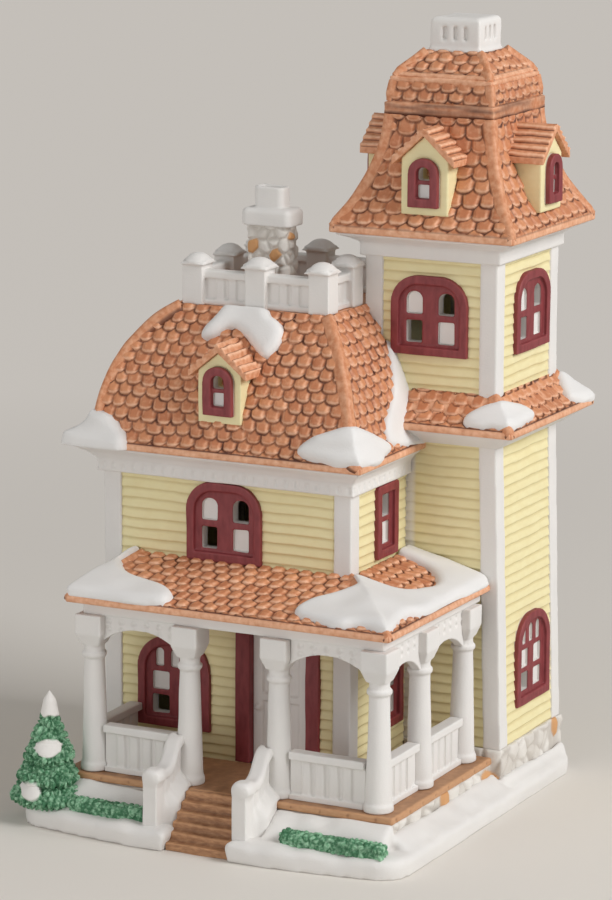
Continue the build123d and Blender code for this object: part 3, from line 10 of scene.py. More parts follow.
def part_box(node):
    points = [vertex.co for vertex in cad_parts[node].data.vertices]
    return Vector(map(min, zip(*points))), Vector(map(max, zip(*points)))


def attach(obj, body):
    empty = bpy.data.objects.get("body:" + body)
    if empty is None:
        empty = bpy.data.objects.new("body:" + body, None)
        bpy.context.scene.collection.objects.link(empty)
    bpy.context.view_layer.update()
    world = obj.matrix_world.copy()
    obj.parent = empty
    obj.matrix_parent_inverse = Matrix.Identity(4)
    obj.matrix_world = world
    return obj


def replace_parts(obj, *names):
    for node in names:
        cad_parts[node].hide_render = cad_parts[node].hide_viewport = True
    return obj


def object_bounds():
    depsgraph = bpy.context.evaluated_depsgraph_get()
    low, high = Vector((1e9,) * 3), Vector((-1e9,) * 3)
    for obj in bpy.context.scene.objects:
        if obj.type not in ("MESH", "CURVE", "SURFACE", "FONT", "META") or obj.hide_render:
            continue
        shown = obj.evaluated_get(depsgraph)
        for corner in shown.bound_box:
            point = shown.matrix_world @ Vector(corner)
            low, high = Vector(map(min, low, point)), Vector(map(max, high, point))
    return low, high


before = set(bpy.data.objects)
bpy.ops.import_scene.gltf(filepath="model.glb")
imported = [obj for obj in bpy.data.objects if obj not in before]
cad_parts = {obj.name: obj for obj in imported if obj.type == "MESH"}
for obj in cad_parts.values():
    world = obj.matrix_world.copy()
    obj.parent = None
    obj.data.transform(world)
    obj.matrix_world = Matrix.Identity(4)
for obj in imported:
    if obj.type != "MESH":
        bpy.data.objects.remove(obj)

cad_low, cad_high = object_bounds()

# The base
# A flat slab that carries the whole house, banked up on top like trodden snow. It is slip-cast white
# bisque, fired and left bare, so its rim is soft and a little uneven.
mm = 0.001
base_voxel = 0.8 * mm
first_mixer, second_mixer = np.uint32(2654435761), np.uint32(2246822519)


def paint(red, green, blue):
    """A paint as it is matched, 0 to 255, turned into light for the shader."""
    steps = [value / 255 for value in (red, green, blue)]
    return [step / 12.92 if step <= 0.04045 else ((step + 0.055) / 1.055) ** 2.4 for step in steps] + [1.0]


class Measure:
    """A shader value. Sums on it add Math nodes to its finish."""

    def __init__(self, finish, socket):
        self.finish = finish
        self.socket = socket

    def sum(self, operation, first, second):
        return self.finish.node("ShaderNodeMath", {"operation": operation}, {0: first, 1: second})

    def __add__(self, other):
        return self.sum("ADD", self, other)

    def __sub__(self, other):
        return self.sum("SUBTRACT", self, other)

    def __rsub__(self, other):
        return self.sum("SUBTRACT", other, self)

    def __mul__(self, other):
        return self.sum("MULTIPLY", self, other)

    def __truediv__(self, other):
        return self.sum("DIVIDE", self, other)

    __radd__ = __add__
    __rmul__ = __mul__

    def held(self):
        """The value kept between 0 and 1."""
        return self.finish.node("ShaderNodeClamp", {}, {"Value": self})


class Finish:
    """A painted or bare surface, or the studio's light, built up from nodes."""

    def __init__(self, owner):
        owner.use_nodes = True
        self.owner = owner
        self.tree = owner.node_tree
        self.shader = self.tree.nodes.get("Principled BSDF")

    def plug(self, value, socket):
        if isinstance(value, Measure):
            self.tree.links.new(value.socket, socket)
        else:
            socket.default_value = value

    def node(self, kind, settings, sockets, output=0):
        """Any node: its settings first, then the values or links of its sockets."""
        made = self.tree.nodes.new(kind)
        for name, value in settings.items():
            setattr(made, name, value)
        for name, value in sockets.items():
            self.plug(value, made.inputs[name])
        return Measure(self, made.outputs[output])

    def mark(self, name):
        """A value that the mesh carries at its points."""
        return self.node("ShaderNodeAttribute", {"attribute_name": name}, {}, "Fac")

    def grain(self, size, detail=3.0, stretch=(1, 1, 1)):
        """Soft mottling with patches of about the given size."""
        place = self.node("ShaderNodeTexCoord", {}, {}, "Object")
        place = self.node("ShaderNodeVectorMath", {"operation": "MULTIPLY"}, {0: place, 1: stretch})
        return self.node("ShaderNodeTexNoise", {}, {"Vector": place, "Scale": 1 / size, "Detail": detail})

    def blend(self, amount, first, second):
        """One colour laid over another."""
        settings = {"data_type": "RGBA", "clamp_factor": True}
        return self.node("ShaderNodeMix", settings, {0: amount, 6: first, 7: second}, 2)

    def lay(self, colour, roughness, relief=None, depth=0.0):
        """Put colour, roughness and a fine relief on the shader."""
        self.plug(colour, self.shader.inputs["Base Color"])
        self.plug(roughness, self.shader.inputs["Roughness"])
        if relief:
            bump = self.node("ShaderNodeBump", {}, {"Strength": 0.6, "Distance": depth, "Height": relief})
            self.plug(bump, self.shader.inputs["Normal"])
        return self.owner


def surface(name):
    return Finish(bpy.data.materials.new(name))


def bare_bisque(name, light, cool, shade, shade_amount):
    """Bare fired clay: chalky, faintly mottled, and greyer with painted shade in its hollows."""
    finish = surface(name)
    chalk = finish.blend(finish.grain(14 * mm), light, cool)
    # Painted shade greys the hollows; the grain adds a little random mottling.
    hollow_shade_and_mottle = (finish.mark("hollow") * shade_amount + finish.grain(5 * mm) * 0.12 - 0.06).held()
    colour = finish.blend(hollow_shade_and_mottle, chalk, shade)
    return finish.lay(colour, 0.72 - finish.grain(3 * mm) * 0.14, finish.grain(0.5 * mm), 0.1 * mm)


def lottery(cell, seed):
    """A repeatable number from 0 to 1 for each lattice cell."""
    key = np.full(cell.shape[:-1], seed * 7919 + 17, np.uint32)
    for axis in range(cell.shape[-1]):
        key = (key ^ cell[..., axis].astype(np.int64).astype(np.uint32)) * first_mixer
        key ^= key >> np.uint32(15)
    key = key * second_mixer
    return (key ^ (key >> np.uint32(13))) / 2.0 ** 32


def ripple(points, size, seed):
    """A smooth unevenness from -1 to 1, with swells of about the given size."""
    place = points / size
    home = np.floor(place)
    part = place - home
    part = part * part * (3 - 2 * part)
    total = 0.0
    for corner in itertools.product((0, 1), repeat=points.shape[-1]):
        weight = np.prod(np.where(corner, part, 1 - part), axis=-1)
        total = total + weight * lottery(home + corner, seed)
    return 2 * total - 1


def read_points(mesh, name="co"):
    values = np.empty(len(mesh.vertices) * 3, np.float32)
    mesh.vertices.foreach_get(name, values)
    return values.reshape(-1, 3).astype(float)


def set_marks(mesh, marks):
    for name, values in marks.items():
        mark = mesh.attributes.new(name, "FLOAT", "POINT")
        mark.data.foreach_set("value", np.asarray(values, np.float32).ravel())


def place_piece(piece, finish, body="house"):
    """Give a made piece its finish and its body."""
    piece.data.materials.clear()
    piece.data.materials.append(finish)
    piece.data.polygons.foreach_set("use_smooth", np.ones(len(piece.data.polygons), bool))
    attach(piece, body)
    return piece


def hollows(mesh, points, normals, rounds=8, reach=0.5 * mm):
    """How far each point lies in a hollow (over 0) or on an edge (under 0)."""
    edges = np.empty(len(mesh.edges) * 2, np.int32)
    mesh.edges.foreach_get("vertices", edges)
    first, second = edges.reshape(-1, 2).T
    count = len(points)
    joined = np.maximum(np.bincount(first, minlength=count) + np.bincount(second, minlength=count), 1)
    settled = points.copy()
    for turn in range(rounds):
        pulled = [
            np.bincount(first, settled[second, axis], count)
            + np.bincount(second, settled[first, axis], count) for axis in range(3)]
        settled = 0.5 * settled + 0.5 * np.stack(pulled, axis=1) / joined[:, None]
    return np.clip(np.sum((settled - points) * normals, axis=1) / reach, -1, 1)


def set_out(name, data):
    """A new object in the scene."""
    made = bpy.data.objects.new(name, data)
    bpy.context.scene.collection.objects.link(made)
    return made


def sponge(name, mesh, voxel, rounds):
    """A piece from a closed mesh, remade in small even faces with its edges rubbed soft."""
    piece = set_out(name, mesh)
    remesh = piece.modifiers.new("slip", "REMESH")
    remesh.mode = "VOXEL"
    remesh.voxel_size = voxel
    soften = piece.modifiers.new("sponge", "SMOOTH")
    soften.factor = 0.5
    soften.iterations = rounds
    graph = bpy.context.evaluated_depsgraph_get()
    piece.data = bpy.data.meshes.new_from_object(piece.evaluated_get(graph))
    piece.modifiers.clear()
    return piece


def cast(node, finish, voxel=0.35 * mm, rounds=3, wobble=0.08 * mm, carve=None):
    """Remake a CAD node as a slip casting: soft edges, an uneven skin, and its hollows marked.

    carve, if given, takes points and normals and returns how far to push each point out, or its
    whole move, and the marks that it leaves."""
    mesh = bpy.data.meshes.new(node + "_cast")
    welded = bmesh.new()
    welded.from_mesh(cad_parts[node].data)
    bmesh.ops.remove_doubles(welded, verts=welded.verts, dist=0.001 * mm)
    welded.to_mesh(mesh)
    welded.free()
    piece = sponge(node + "_cast", mesh, voxel, rounds)
    mesh = piece.data
    points = read_points(mesh)
    normals = read_points(mesh, "normal")
    moved = points + normals * wobble * ripple(points, 7 * mm, 3)[:, None]
    # The hollow mark feeds the finishes' painted shade in hollows and the maroon's painted highlight on
    # edges.
    marks = {"hollow": hollows(mesh, points, normals)}
    if carve:
        move, carved = carve(points, normals)
        moved = moved + (move if move.ndim == 2 else normals * move[:, None])
        marks.update(carved)
    moved = np.clip(moved, cad_low, cad_high)
    mesh.vertices.foreach_set("co", moved.astype(np.float32).ravel())
    mesh.update()
    set_marks(mesh, marks)
    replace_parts(place_piece(piece, finish), node)
    return piece


bisque_light = paint(230, 227, 223)
bisque_cool = paint(219, 217, 215)
bisque_shade = paint(150, 141, 133)
bisque = bare_bisque("bare_bisque", bisque_light, bisque_cool, bisque_shade, 0.55)


def trodden(points, normals):
    """Gentle swells in the banked snow and along its rim; the underside stays flat."""
    swell = 0.4 * mm + 0.8 * mm * ripple(points, 11 * mm, 8) + 0.45 * mm * ripple(points, 5 * mm, 9)
    return swell * np.clip((points[:, 2] - 1 * mm) / (3 * mm), 0, 1), {}


cast("base", bisque, base_voxel, 4, 0.1 * mm, trodden)

# The stone foundation
# Cobbled walls under the house, the porch and the tower, pressed in relief in the casting. They are
# washed with thin grey, with painted shade in their hollows, and a few stones are picked out in tan.
stone_size = 5.8 * mm
stone_swell = 0.9 * mm
stone_pale = paint(226, 222, 216)
stone_grey = paint(206, 200, 192)
stone_joint = paint(168, 159, 149)
stone_tan = paint(206, 154, 104)
tan_stones = np.array([
    (54.2, -14, 8.5), (54.2, 12, 9.0), (57.8, 58.5, 14.8), (-40, -52.4, 9)]) * mm


def cobbles(points, size, seed):
    """How far inside its stone each point lies, and that stone's own number from 0 to 1."""
    place = points / size
    home = np.floor(place)
    nearest = np.full(len(points), 9.0)
    second = nearest.copy()
    number = np.zeros(len(points))
    for step in itertools.product((-1, 0, 1), repeat=3):
        cell = home + step
        drawn = np.stack([lottery(cell, seed + axis) for axis in range(3)], axis=-1)
        gap = np.linalg.norm(place - (cell + 0.1 + 0.8 * drawn), axis=1)
        closer = gap < nearest
        second = np.where(closer, nearest, np.minimum(second, gap))
        number = np.where(closer, lottery(cell, seed + 3), number)
        nearest = np.minimum(nearest, gap)
    return (second - nearest) * size, number


def smooth(value, low, high):
    """A soft step from 0 at low to 1 at high."""
    part = np.clip((value - low) / (high - low), 0, 1)
    return part * part * (3 - 2 * part)


def cobble_relief(size, swell, tan_places, seed):
    """Rounded stones; those at the given places are marked for tan paint."""
    picked = cobbles(tan_places, size, seed)[1]

    def carve(points, normals):
        inside, number = cobbles(points, size, seed)
        rounded = smooth(inside, 0, 0.4 * size)
        upright = 1 - np.abs(normals[:, 2])
        tan = np.isin(number, picked) * smooth(inside, 0.1 * mm, 0.6 * mm)
        joint = 1 - smooth(inside, 0, 0.22 * size)
        return swell * (rounded - 0.3) * upright, {"joint": joint * upright, "tone": number, "tan": tan}
    return carve


def cobbled(name, joint_amount):
    finish = surface(name)
    tone = finish.mark("tone")
    colour = finish.blend(tone, stone_pale, stone_grey)
    colour = finish.blend(finish.mark("tan"), colour, stone_tan)
    # Painted shade darkens the stones' hollows and the grain adds random dirt; the joint mark is the grey
    # wash.
    dirt_and_hollow_shade = finish.mark("hollow") * 0.3 + finish.grain(3 * mm) * 0.2 - 0.1
    colour = finish.blend((finish.mark("joint") * joint_amount + dirt_and_hollow_shade).held(), colour, stone_joint)
    return finish.lay(colour, 0.75 - tone * 0.1, finish.grain(0.6 * mm), 0.12 * mm)


foundation_relief = cobble_relief(stone_size, stone_swell, tan_stones, 11)
foundation_finish = cobbled("cobbles", 0.5)
cast(
    "stone_foundation", foundation_finish, 0.5 * mm, 2, 0.1 * mm, foundation_relief)

# The porch floor and the front steps
# A boarded floor round two sides of the house, and a flight of six steps between its stair walls. Both
# are cast with the base and brushed tan, with a brown wash in the strokes and seams, and painted shade
# in the corners and on the floor's upward faces.
board_gap = 9 * mm
board_groove = 0.35 * mm
tan_light = paint(206, 160, 120)
deck_mid = paint(176, 128, 90)
step_mid = paint(156, 104, 64)
tan_wash = paint(96, 58, 36)


def along_face(points, normals):
    """Each point's place along the upright face that it lies on."""
    return np.where(np.abs(normals[:, 0]) > np.abs(normals[:, 1]), points[:, 1], points[:, 0])


def off_line(along, spacing):
    """How far each place lies from the nearest of many evenly spaced lines."""
    return np.abs((along / spacing) % 1 - 0.5) * spacing


def board_seams(points, normals):
    """Grooves between the boards' ends along the floor's edges, and painted shade darkening the floor's
    upward faces.
    """
    along = along_face(points, normals) + 0.8 * mm * ripple(points, 6 * mm, 5)
    seam = 1 - smooth(off_line(along, board_gap), 0.1 * mm, 0.7 * mm)
    upright = 1 - np.abs(normals[:, 2])
    # Painted shade: the floor's upward faces are darkened, in long streaks.
    wear_and_shade = smooth(normals[:, 2], 0.5, 0.9) * (0.7 + 0.3 * ripple(points * (1, 0.3, 1), 2.5 * mm, 6))
    return -board_groove * seam * upright, {"seam": np.maximum(seam * upright, wear_and_shade)}


def brushed_tan(name, tan_mid, wash_amount):
    finish = surface(name)
    strokes = finish.grain(2.2 * mm, 4.0, (1, 1, 3))
    colour = finish.blend(strokes, tan_light, tan_mid)
    # Painted shade darkens the hollows and, through the seam mark, the floor's top; the strokes add a random
    # brown wash.
    wash = (finish.mark("hollow") * 1.3 + finish.mark("seam") * 0.6 + strokes * wash_amount - 0.2).held()
    colour = finish.blend(wash, colour, tan_wash)
    return finish.lay(colour, 0.7 - strokes * 0.15, strokes, 0.1 * mm)


cast("porch_deck", brushed_tan("deck_tan", deck_mid, 0.4), 0.45 * mm, 2, 0.1 * mm, board_seams)
cast("front_steps", brushed_tan("step_tan_wash", step_mid, 0.95), 0.4 * mm, 6, 0.25 * mm)

# The porch's columns, rails and arches
# Turned columns carry arched spandrels and a beam, with railings between them and a sloping wall on
# each side of the steps. All are bare white bisque, luted together while damp.
columns = ["front_left", "stair_left", "stair_right", "corner", "side_middle", "side_rear"]
railings = ["front_left", "front_right", "side_front", "side_rear", "left_end"]
dimple_gap = 4.2 * mm
dimple_depth = 0.65 * mm
dimple_rows = (1.7 * mm, 4.0 * mm)
stair_thick = 4.7 * mm
stair_rail = 3.2 * mm
stair_rail_out = 0.9 * mm
stair_slice = 0.6 * mm
baluster_gap = 3.3 * mm
baluster_depth = 0.45 * mm
knob_place = np.array([2.7, 2.4, -1.6]) * mm
knob_swell = 0.8 * mm
step_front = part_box("front_steps")[0].y
deck_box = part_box("porch_deck")
for column in columns:
    cast("porch_column_" + column, bisque, 0.3 * mm, 12, 0.12 * mm)
for railing in railings:
    cast("railing_" + railing, bisque, 0.3 * mm, 3)


def stair_wall(node):
    """Thin a stair wall to a rail over pressed balusters that spreads at its foot, with a knob in front."""
    low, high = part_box(node)

    def carve(points, normals):
        along, up = points[:, 1], points[:, 2]
        number = np.floor((along - low.y) / stair_slice).astype(int).clip(0)
        tops = np.full(number.max() + 1, low.z)
        np.maximum.at(tops, number, up)
        top = np.interp(along, low.y + (np.arange(len(tops)) + 0.5) * stair_slice, tops)
        climb = np.clip((along - step_front) / (deck_box[0].y - step_front), 0, 1)
        foot = low.z + (deck_box[1].z - low.z) * climb
        spread = (1 - smooth(up - foot, 0.5 * mm, 5 * mm)) * smooth(along - low.y, 3.5 * mm, 8 * mm)
        rail = 1 - smooth(top - up, stair_rail - 0.8 * mm, stair_rail)
        thick = stair_thick + stair_rail_out * rail
        thick = thick + (high.x - low.x - thick) * spread
        move = np.zeros(points.shape)
        move[:, 0] = (low.x - points[:, 0]) * (1 - thick / (high.x - low.x))
        panel = (1 - rail) * (1 - spread) * smooth(np.abs(normals[:, 0]), 0.5, 0.8)
        pressed = panel * smooth(along - low.y, 3 * mm, 4 * mm)
        pressed = pressed * (1 - smooth(off_line(along, baluster_gap), 0.3 * mm, 0.9 * mm))
        knob = np.array([low.x, low.y, tops[:5].max()]) + knob_place
        near = 1 - smooth(np.linalg.norm(points + move - knob, axis=1), 2.2 * mm, 4.2 * mm)
        move += normals * (knob_swell * near - baluster_depth * pressed)[:, None]
        return move, {}
    return carve


for side in ("left", "right"):
    node = "stair_wall_" + side
    cast(node, bisque, 0.4 * mm, 6, 0.15 * mm, stair_wall(node))


def dimples(points, normals):
    """Two rows of small pressed dimples along the spandrels."""
    across = off_line(along_face(points, normals), dimple_gap)
    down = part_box("porch_arches")[1].z - points[:, 2]
    gap = np.min([np.hypot(across, down - row) for row in dimple_rows], axis=0)
    dimple = (1 - smooth(gap, 0.2 * mm, 1.1 * mm)) * (1 - np.abs(normals[:, 2]))
    return -dimple_depth * dimple, {}


cast("porch_arches", bisque, 0.3 * mm, 3, carve=dimples)
cast("porch_beam", bisque, 0.4 * mm, 3)

# The clapboard walls
# Thin cast walls of the house and the tower, tooled outside with lapped boards that run a little wavy,
# and painted pale yellow, with painted shade along each lap. White corner boards close their ends.
siding_light = paint(238, 230, 186)
siding_deep = paint(228, 214, 162)
siding_lap_shade = paint(186, 164, 104)
lap_course = 3.05 * mm
lap_relief = 0.55 * mm
wall_back = 3.0 * mm
frame_lap = 1.2 * mm
wall_step_up = 0.26 * mm
wall_step_along = 0.8 * mm


def solid(name, points, quads, marks):
    """A mesh piece from points, four-cornered faces and marks."""
    mesh = bpy.data.meshes.new(name)
    mesh.vertices.add(len(points))
    mesh.vertices.foreach_set("co", points.astype(np.float32).ravel())
    mesh.loops.add(quads.size)
    mesh.loops.foreach_set("vertex_index", quads.astype(np.int32).ravel())
    mesh.polygons.add(len(quads))
    mesh.polygons.foreach_set("loop_start", np.arange(0, quads.size, 4, dtype=np.int32))
    mesh.update(calc_edges=True)
    set_marks(mesh, marks)
    return set_out(name, mesh)


def slab(name, front, back, marks, keep=None):
    """A closed plate between two grids of points, without the cells that keep leaves out."""
    rows, columns = front.shape[:2]
    keep = np.ones((rows - 1, columns - 1), bool) if keep is None else keep
    near = np.arange(rows * columns).reshape(rows, columns)
    corners = [near[:-1, :-1], near[:-1, 1:], near[1:, 1:], near[1:, :-1]]
    quads = [np.stack([corner[keep] for corner in corners], axis=1)]
    quads.append(quads[0][:, ::-1] + rows * columns)
    beside = np.pad(keep, 1)
    rims = [
        (keep & ~beside[:-2, 1:-1], 0, 1), (keep & ~beside[1:-1, 2:], 1, 2),
        (keep & ~beside[2:, 1:-1], 2, 3), (keep & ~beside[1:-1, :-2], 3, 0)]
    for rim, start, end in rims:
        low, high = corners[start][rim], corners[end][rim]
        quads.append(np.stack([high, low, low + rows * columns, high + rows * columns], axis=1))
    quads = np.concatenate(quads)
    points = np.concatenate([front.reshape(-1, 3), back.reshape(-1, 3)])
    turned = np.cross(front[0, -1] - front[0, 0], front[-1, 0] - front[0, 0]) @ (front - back).mean((0, 1))
    if turned < 0:
        quads = quads[:, ::-1]
    used, quads = np.unique(quads, return_inverse=True)
    quads = quads.reshape(-1, 4)
    unmarked = np.zeros(rows * columns)
    kept_marks = {key: np.concatenate([values.ravel(), unmarked])[used] for key, values in marks.items()}
    return solid(name, points[used], quads, kept_marks)


def boards(up, along, seed):
    """Height of wavy lapped boards, and the lap line: painted shade where each board's lip meets the board
    below.
    """
    place = np.stack([along, 0 * along + up], axis=-1)
    wavy = up + 0.22 * mm * ripple(place, 9 * mm, seed) + 0.1 * mm * ripple(place, 3 * mm, seed + 1)
    part = (wavy / lap_course) % 1
    height = lap_relief * smooth(part, 0, 0.16) * (1 - 0.9 * part)
    line = np.maximum(smooth(part, 0.66, 1.0), 1 - smooth(part, 0.0, 0.14))
    return height, line


def painted_siding(name):
    finish = surface(name)
    brushed = finish.grain(4 * mm, 4.0, (1, 1, 2.5))
    colour = finish.blend(brushed, siding_light, siding_deep)
    # Painted shade: darker along each lap and in the hollows; the grain adds random patches.
    line = finish.mark("line") * 0.42 + finish.mark("hollow") * 0.5 + finish.grain(9 * mm) * 0.2 - 0.12
    colour = finish.blend(line.held(), colour, siding_lap_shade)
    colour = finish.blend(finish.mark("bare"), colour, bisque_light)
    return finish.lay(colour, 0.66 - brushed * 0.12, finish.grain(0.7 * mm), 0.08 * mm)


def opening(along, up, frame_box, axis, shrink, roundness=0.9):
    """Where a frame stands in the wall, a little smaller than the frame and round at its head, or
    square there with no roundness."""
    low, high = frame_box
    middle, half = (low[axis] + high[axis]) / 2, (high[axis] - low[axis]) / 2 - shrink
    arch = (high.z - low.z) * 0.36
    inside = (up > low.z + shrink) & (up < high.z - shrink)
    above = np.clip((up - (high.z - arch)) / arch, 0, 1)
    return inside & (np.abs(along - middle) < half * np.sqrt(1 - roundness * above ** 2))


siding = painted_siding("painted_siding")


def solid_boxes(node):
    """The low and high corner of each separate solid of a node, the lowest solid first."""
    mesh = bmesh.new()
    mesh.from_mesh(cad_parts[node].data)
    bmesh.ops.remove_doubles(mesh, verts=mesh.verts, dist=0.001 * mm)
    boxes = []
    left = set(mesh.verts)
    while left:
        group, queue = [], [left.pop()]
        while queue:
            vertex = queue.pop()
            group.append(vertex.co.copy())
            for edge in vertex.link_edges:
                other = edge.other_vert(vertex)
                if other in left:
                    left.discard(other)
                    queue.append(other)
        places = np.array(group)
        boxes.append((Vector(places.min(0)), Vector(places.max(0))))
    mesh.free()
    return sorted(boxes, key=lambda ends: ends[0].z)


def wall(
        name, axis, face, outward, span, heights, holes, seed, lean=0.0, round_hole=None, doorway=None,
        bare_to=-1.0):
    """One clapboard wall: axis is the one it faces along, face its outer place at the foot."""
    up = np.arange(heights[0], heights[1] + wall_step_up / 2, wall_step_up)[:, None]
    along = np.linspace(span[0], span[1], int((span[1] - span[0]) / wall_step_along) + 1)[None, :]
    up, along = np.broadcast_arrays(up, along)
    height, line = boards(up - heights[0], along, seed)
    leaning = lean * (up - heights[0]) / (heights[1] - heights[0])
    outer = face + outward * (height - leaning)
    inner = face - outward * (wall_back + leaning)
    other = 1 - axis
    front, back = np.empty(up.shape + (3,)), np.empty(up.shape + (3,))
    for grid, place in ((front, outer), (back, inner)):
        grid[..., axis], grid[..., other], grid[..., 2] = place, along, up
    middle_up = (up[1:, 1:] + up[:-1, :-1]) / 2
    middle_along = (along[1:, 1:] + along[:-1, :-1]) / 2
    keep = np.ones(middle_up.shape, bool)
    for hole in holes:
        if hole[0][axis] - wall_back < face < hole[1][axis] + wall_back:
            keep &= ~opening(middle_along, middle_up, hole, other, frame_lap)
    if doorway:
        keep &= ~opening(middle_along, middle_up, doorway, other, frame_lap, 0.0)
    if round_hole:
        middle, radius = round_hole
        keep &= np.hypot(middle_along - middle[other], middle_up - middle.z) > radius
    marks = {"line": line, "bare": smooth(bare_to - along, 0, 0.6 * mm)}
    return place_piece(slab(name, front, back, marks, keep), siding)


house_walls = {
    "front_wall": (1, -1, "windows_front"), "rear_wall": (1, 1, "windows_rear"),
    "left_wall": (0, -1, "windows_left"), "right_wall": (0, 1, "windows_right")}
house_low, house_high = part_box("main_corner_boards")
lamp_low, lamp_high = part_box("lamp_holder")
lamp_axis = (lamp_low + lamp_high) / 2
lamp_hole = 14.2 * mm
siding_stand = 0.45 * mm
door_low, door_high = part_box("door_frame")
door_box = (door_low - Vector((0, 0, 3 * mm)), door_high)
for seed, (node, (axis, outward, windows)) in enumerate(house_walls.items()):
    low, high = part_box(node)
    face = (high if outward > 0 else low)[axis] - outward * siding_stand
    other = 1 - axis
    hole = (lamp_axis, lamp_hole) if node == "rear_wall" else None
    doorway = door_box if node == "front_wall" else None
    piece = wall(
        node + "_boards", axis, face, outward, (low[other], high[other]), (low.z, high.z),
        solid_boxes(windows), 20 + 5 * seed, round_hole=hole, doorway=doorway)
    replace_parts(piece, node)

tower_low, tower_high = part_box("tower_upper_walls")
lower_low, lower_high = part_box("tower_lower_walls")
tower_windows = solid_boxes("windows_tower") + solid_boxes("windows_rear")
tower_walls = {"front": (1, -1), "right": (0, 1), "rear": (1, 1), "left": (0, -1)}
for seed, (side, (axis, outward)) in enumerate(tower_walls.items()):
    other = 1 - axis
    face = (tower_high if outward > 0 else tower_low)[axis] - outward * siding_stand
    span = (tower_low[other], tower_high[other])
    piece = wall(
        "tower_upper_boards_" + side, axis, face, outward, span, (tower_low.z, tower_high.z), tower_windows,
        50 + 5 * seed)
    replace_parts(piece, "tower_upper_walls")
    if side == "left":
        continue
    face = (lower_high if outward > 0 else lower_low)[axis] - outward * siding_stand
    start = house_high.x - wall_back if side == "front" else lower_low[other]
    bare_to = house_high.x + 2.2 * mm if side == "front" else -1.0
    lean = lower_high.x - tower_high.x if side == "right" else 0.0
    end = lower_high[other] if side == "right" else tower_high.x
    piece = wall(
        "tower_lower_boards_" + side, axis, face, outward, (start, end), (lower_low.z, lower_high.z),
        tower_windows, 80 + 5 * seed, lean, bare_to=bare_to)
    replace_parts(piece, "tower_lower_walls")

# Corner boards and cornices
# Flat white boards down every corner, and a swelling moulding under each roof. They are bare bisque,
# cast with the walls.
dentil_gap = 3.4 * mm
dentil_depth = 0.35 * mm
frieze_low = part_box("main_cornice")[0].z


def dentils(points, normals):
    """Shallow nicks along the frieze."""
    nick = 1 - smooth(off_line(along_face(points, normals), dentil_gap), 0.3 * mm, 0.7 * mm)
    up = points[:, 2] - frieze_low
    band = smooth(up, 0.8 * mm, 1.3 * mm) * (1 - smooth(up, 2.7 * mm, 3.2 * mm))
    return -dentil_depth * nick * band, {}


cast("main_cornice", bisque, 0.4 * mm, 3, carve=dentils)
for node in ("main_corner_boards", "tower_corner_boards", "tower_skirt_cornice", "tower_cornice"):
    cast(node, bisque, 0.45 * mm, 3)

# Windows, panes and the front door
# Arched frames stand proud of the walls; some lights are pierced through to let the lamp shine, and the
# rest hold white panes. Frames and door jambs are brushed maroon, with a painted highlight on their
# edges and painted shade in their hollows; the door and the panes are bare.
# maroon_light also paints a highlight on the frames' edges, and maroon_deep the shade in their hollows.
maroon_light = paint(164, 80, 82)
maroon_mid = paint(138, 52, 56)
maroon_deep = paint(104, 33, 38)
house_middle = (house_low + house_high) / 2
tower_middle = (tower_low + tower_high) / 2
reveal_from = 1.45 * mm
reveal_to = 1.8 * mm


def reveals(node):
    """Mark the bare clay inside the pierced lights, behind the painted face of each frame."""
    def carve(points, normals):
        bare = np.zeros(len(points))
        for low, high in solid_boxes(node):
            middle, size = (low + high) / 2, high - low
            axis = 0 if size.x < size.y else 1
            on_tower = middle.x > house_high.x + 1 * mm or middle.z > tower_low.z + 20 * mm
            outward = 1 if middle[axis] > (tower_middle if on_tower else house_middle)[axis] else -1
            face = (high if outward > 0 else low)[axis]
            offset = np.abs(points - np.array(middle))
            near = np.all(offset < np.array(size) / 2 + 0.5 * mm, axis=1)
            depth = outward * (face - points[:, axis])
            bare = np.where(near, smooth(depth, reveal_from, reveal_to), bare)
        return 0 * bare, {"bare": bare}
    return carve


def brushed_maroon(name):
    finish = surface(name)
    strokes = finish.grain(1.6 * mm, 4.0, (1, 1, 0.35))
    # Painted highlight on the edges and painted shade in the hollows; the strokes are random brushwork.
    edge = (finish.mark("hollow") * -1.4).held()
    colour = finish.blend(strokes, maroon_deep, maroon_mid)
    colour = finish.blend((edge * 0.5 + strokes * 0.5 - 0.15).held(), colour, maroon_light)
    colour = finish.blend((finish.mark("hollow") * 0.9).held(), colour, maroon_deep)
    colour = finish.blend(finish.mark("bare"), colour, bisque_light)
    return finish.lay(colour, 0.62 - strokes * 0.15, strokes, 0.1 * mm)


maroon = brushed_maroon("brushed_maroon")
window_nodes = ["windows_" + side for side in ("front", "right", "left", "rear", "tower")]
for node in window_nodes + ["dormer_windows"]:
    cast(node, maroon, 0.28 * mm, 3, 0.14 * mm, reveals(node))
cast("door_frame", maroon, 0.3 * mm, 3, 0.15 * mm)
cast("closed_panes", bisque, 0.3 * mm, 2, 0.03 * mm)
cast("front_door", bisque, 0.3 * mm, 2, 0.04 * mm)

# The shingled roofs
# A flared mansard over the house, a hipped porch roof, a skirt round the tower and the tower's concave
# roof, all tooled with round-ended shingles. Terracotta paint is wiped back to pale lips that also
# carry a painted highlight, and left dark in the joints with painted shade in the hollows, and smooth
# bars cover the hips.
# terracotta_light also paints the highlight on the lips, and terracotta_wash the shade in the hollows.
terracotta_light = paint(240, 190, 156)
terracotta_mid = paint(214, 147, 104)
terracotta_deep = paint(186, 115, 77)
terracotta_wash = paint(84, 40, 20)
shingle_step = 0.32 * mm
shingle_lift = 1.35 * mm
shingle_back = 0.5 * mm
hip_half = 2.4 * mm
hip_thick = 1.6 * mm
hip_drop = 0.7


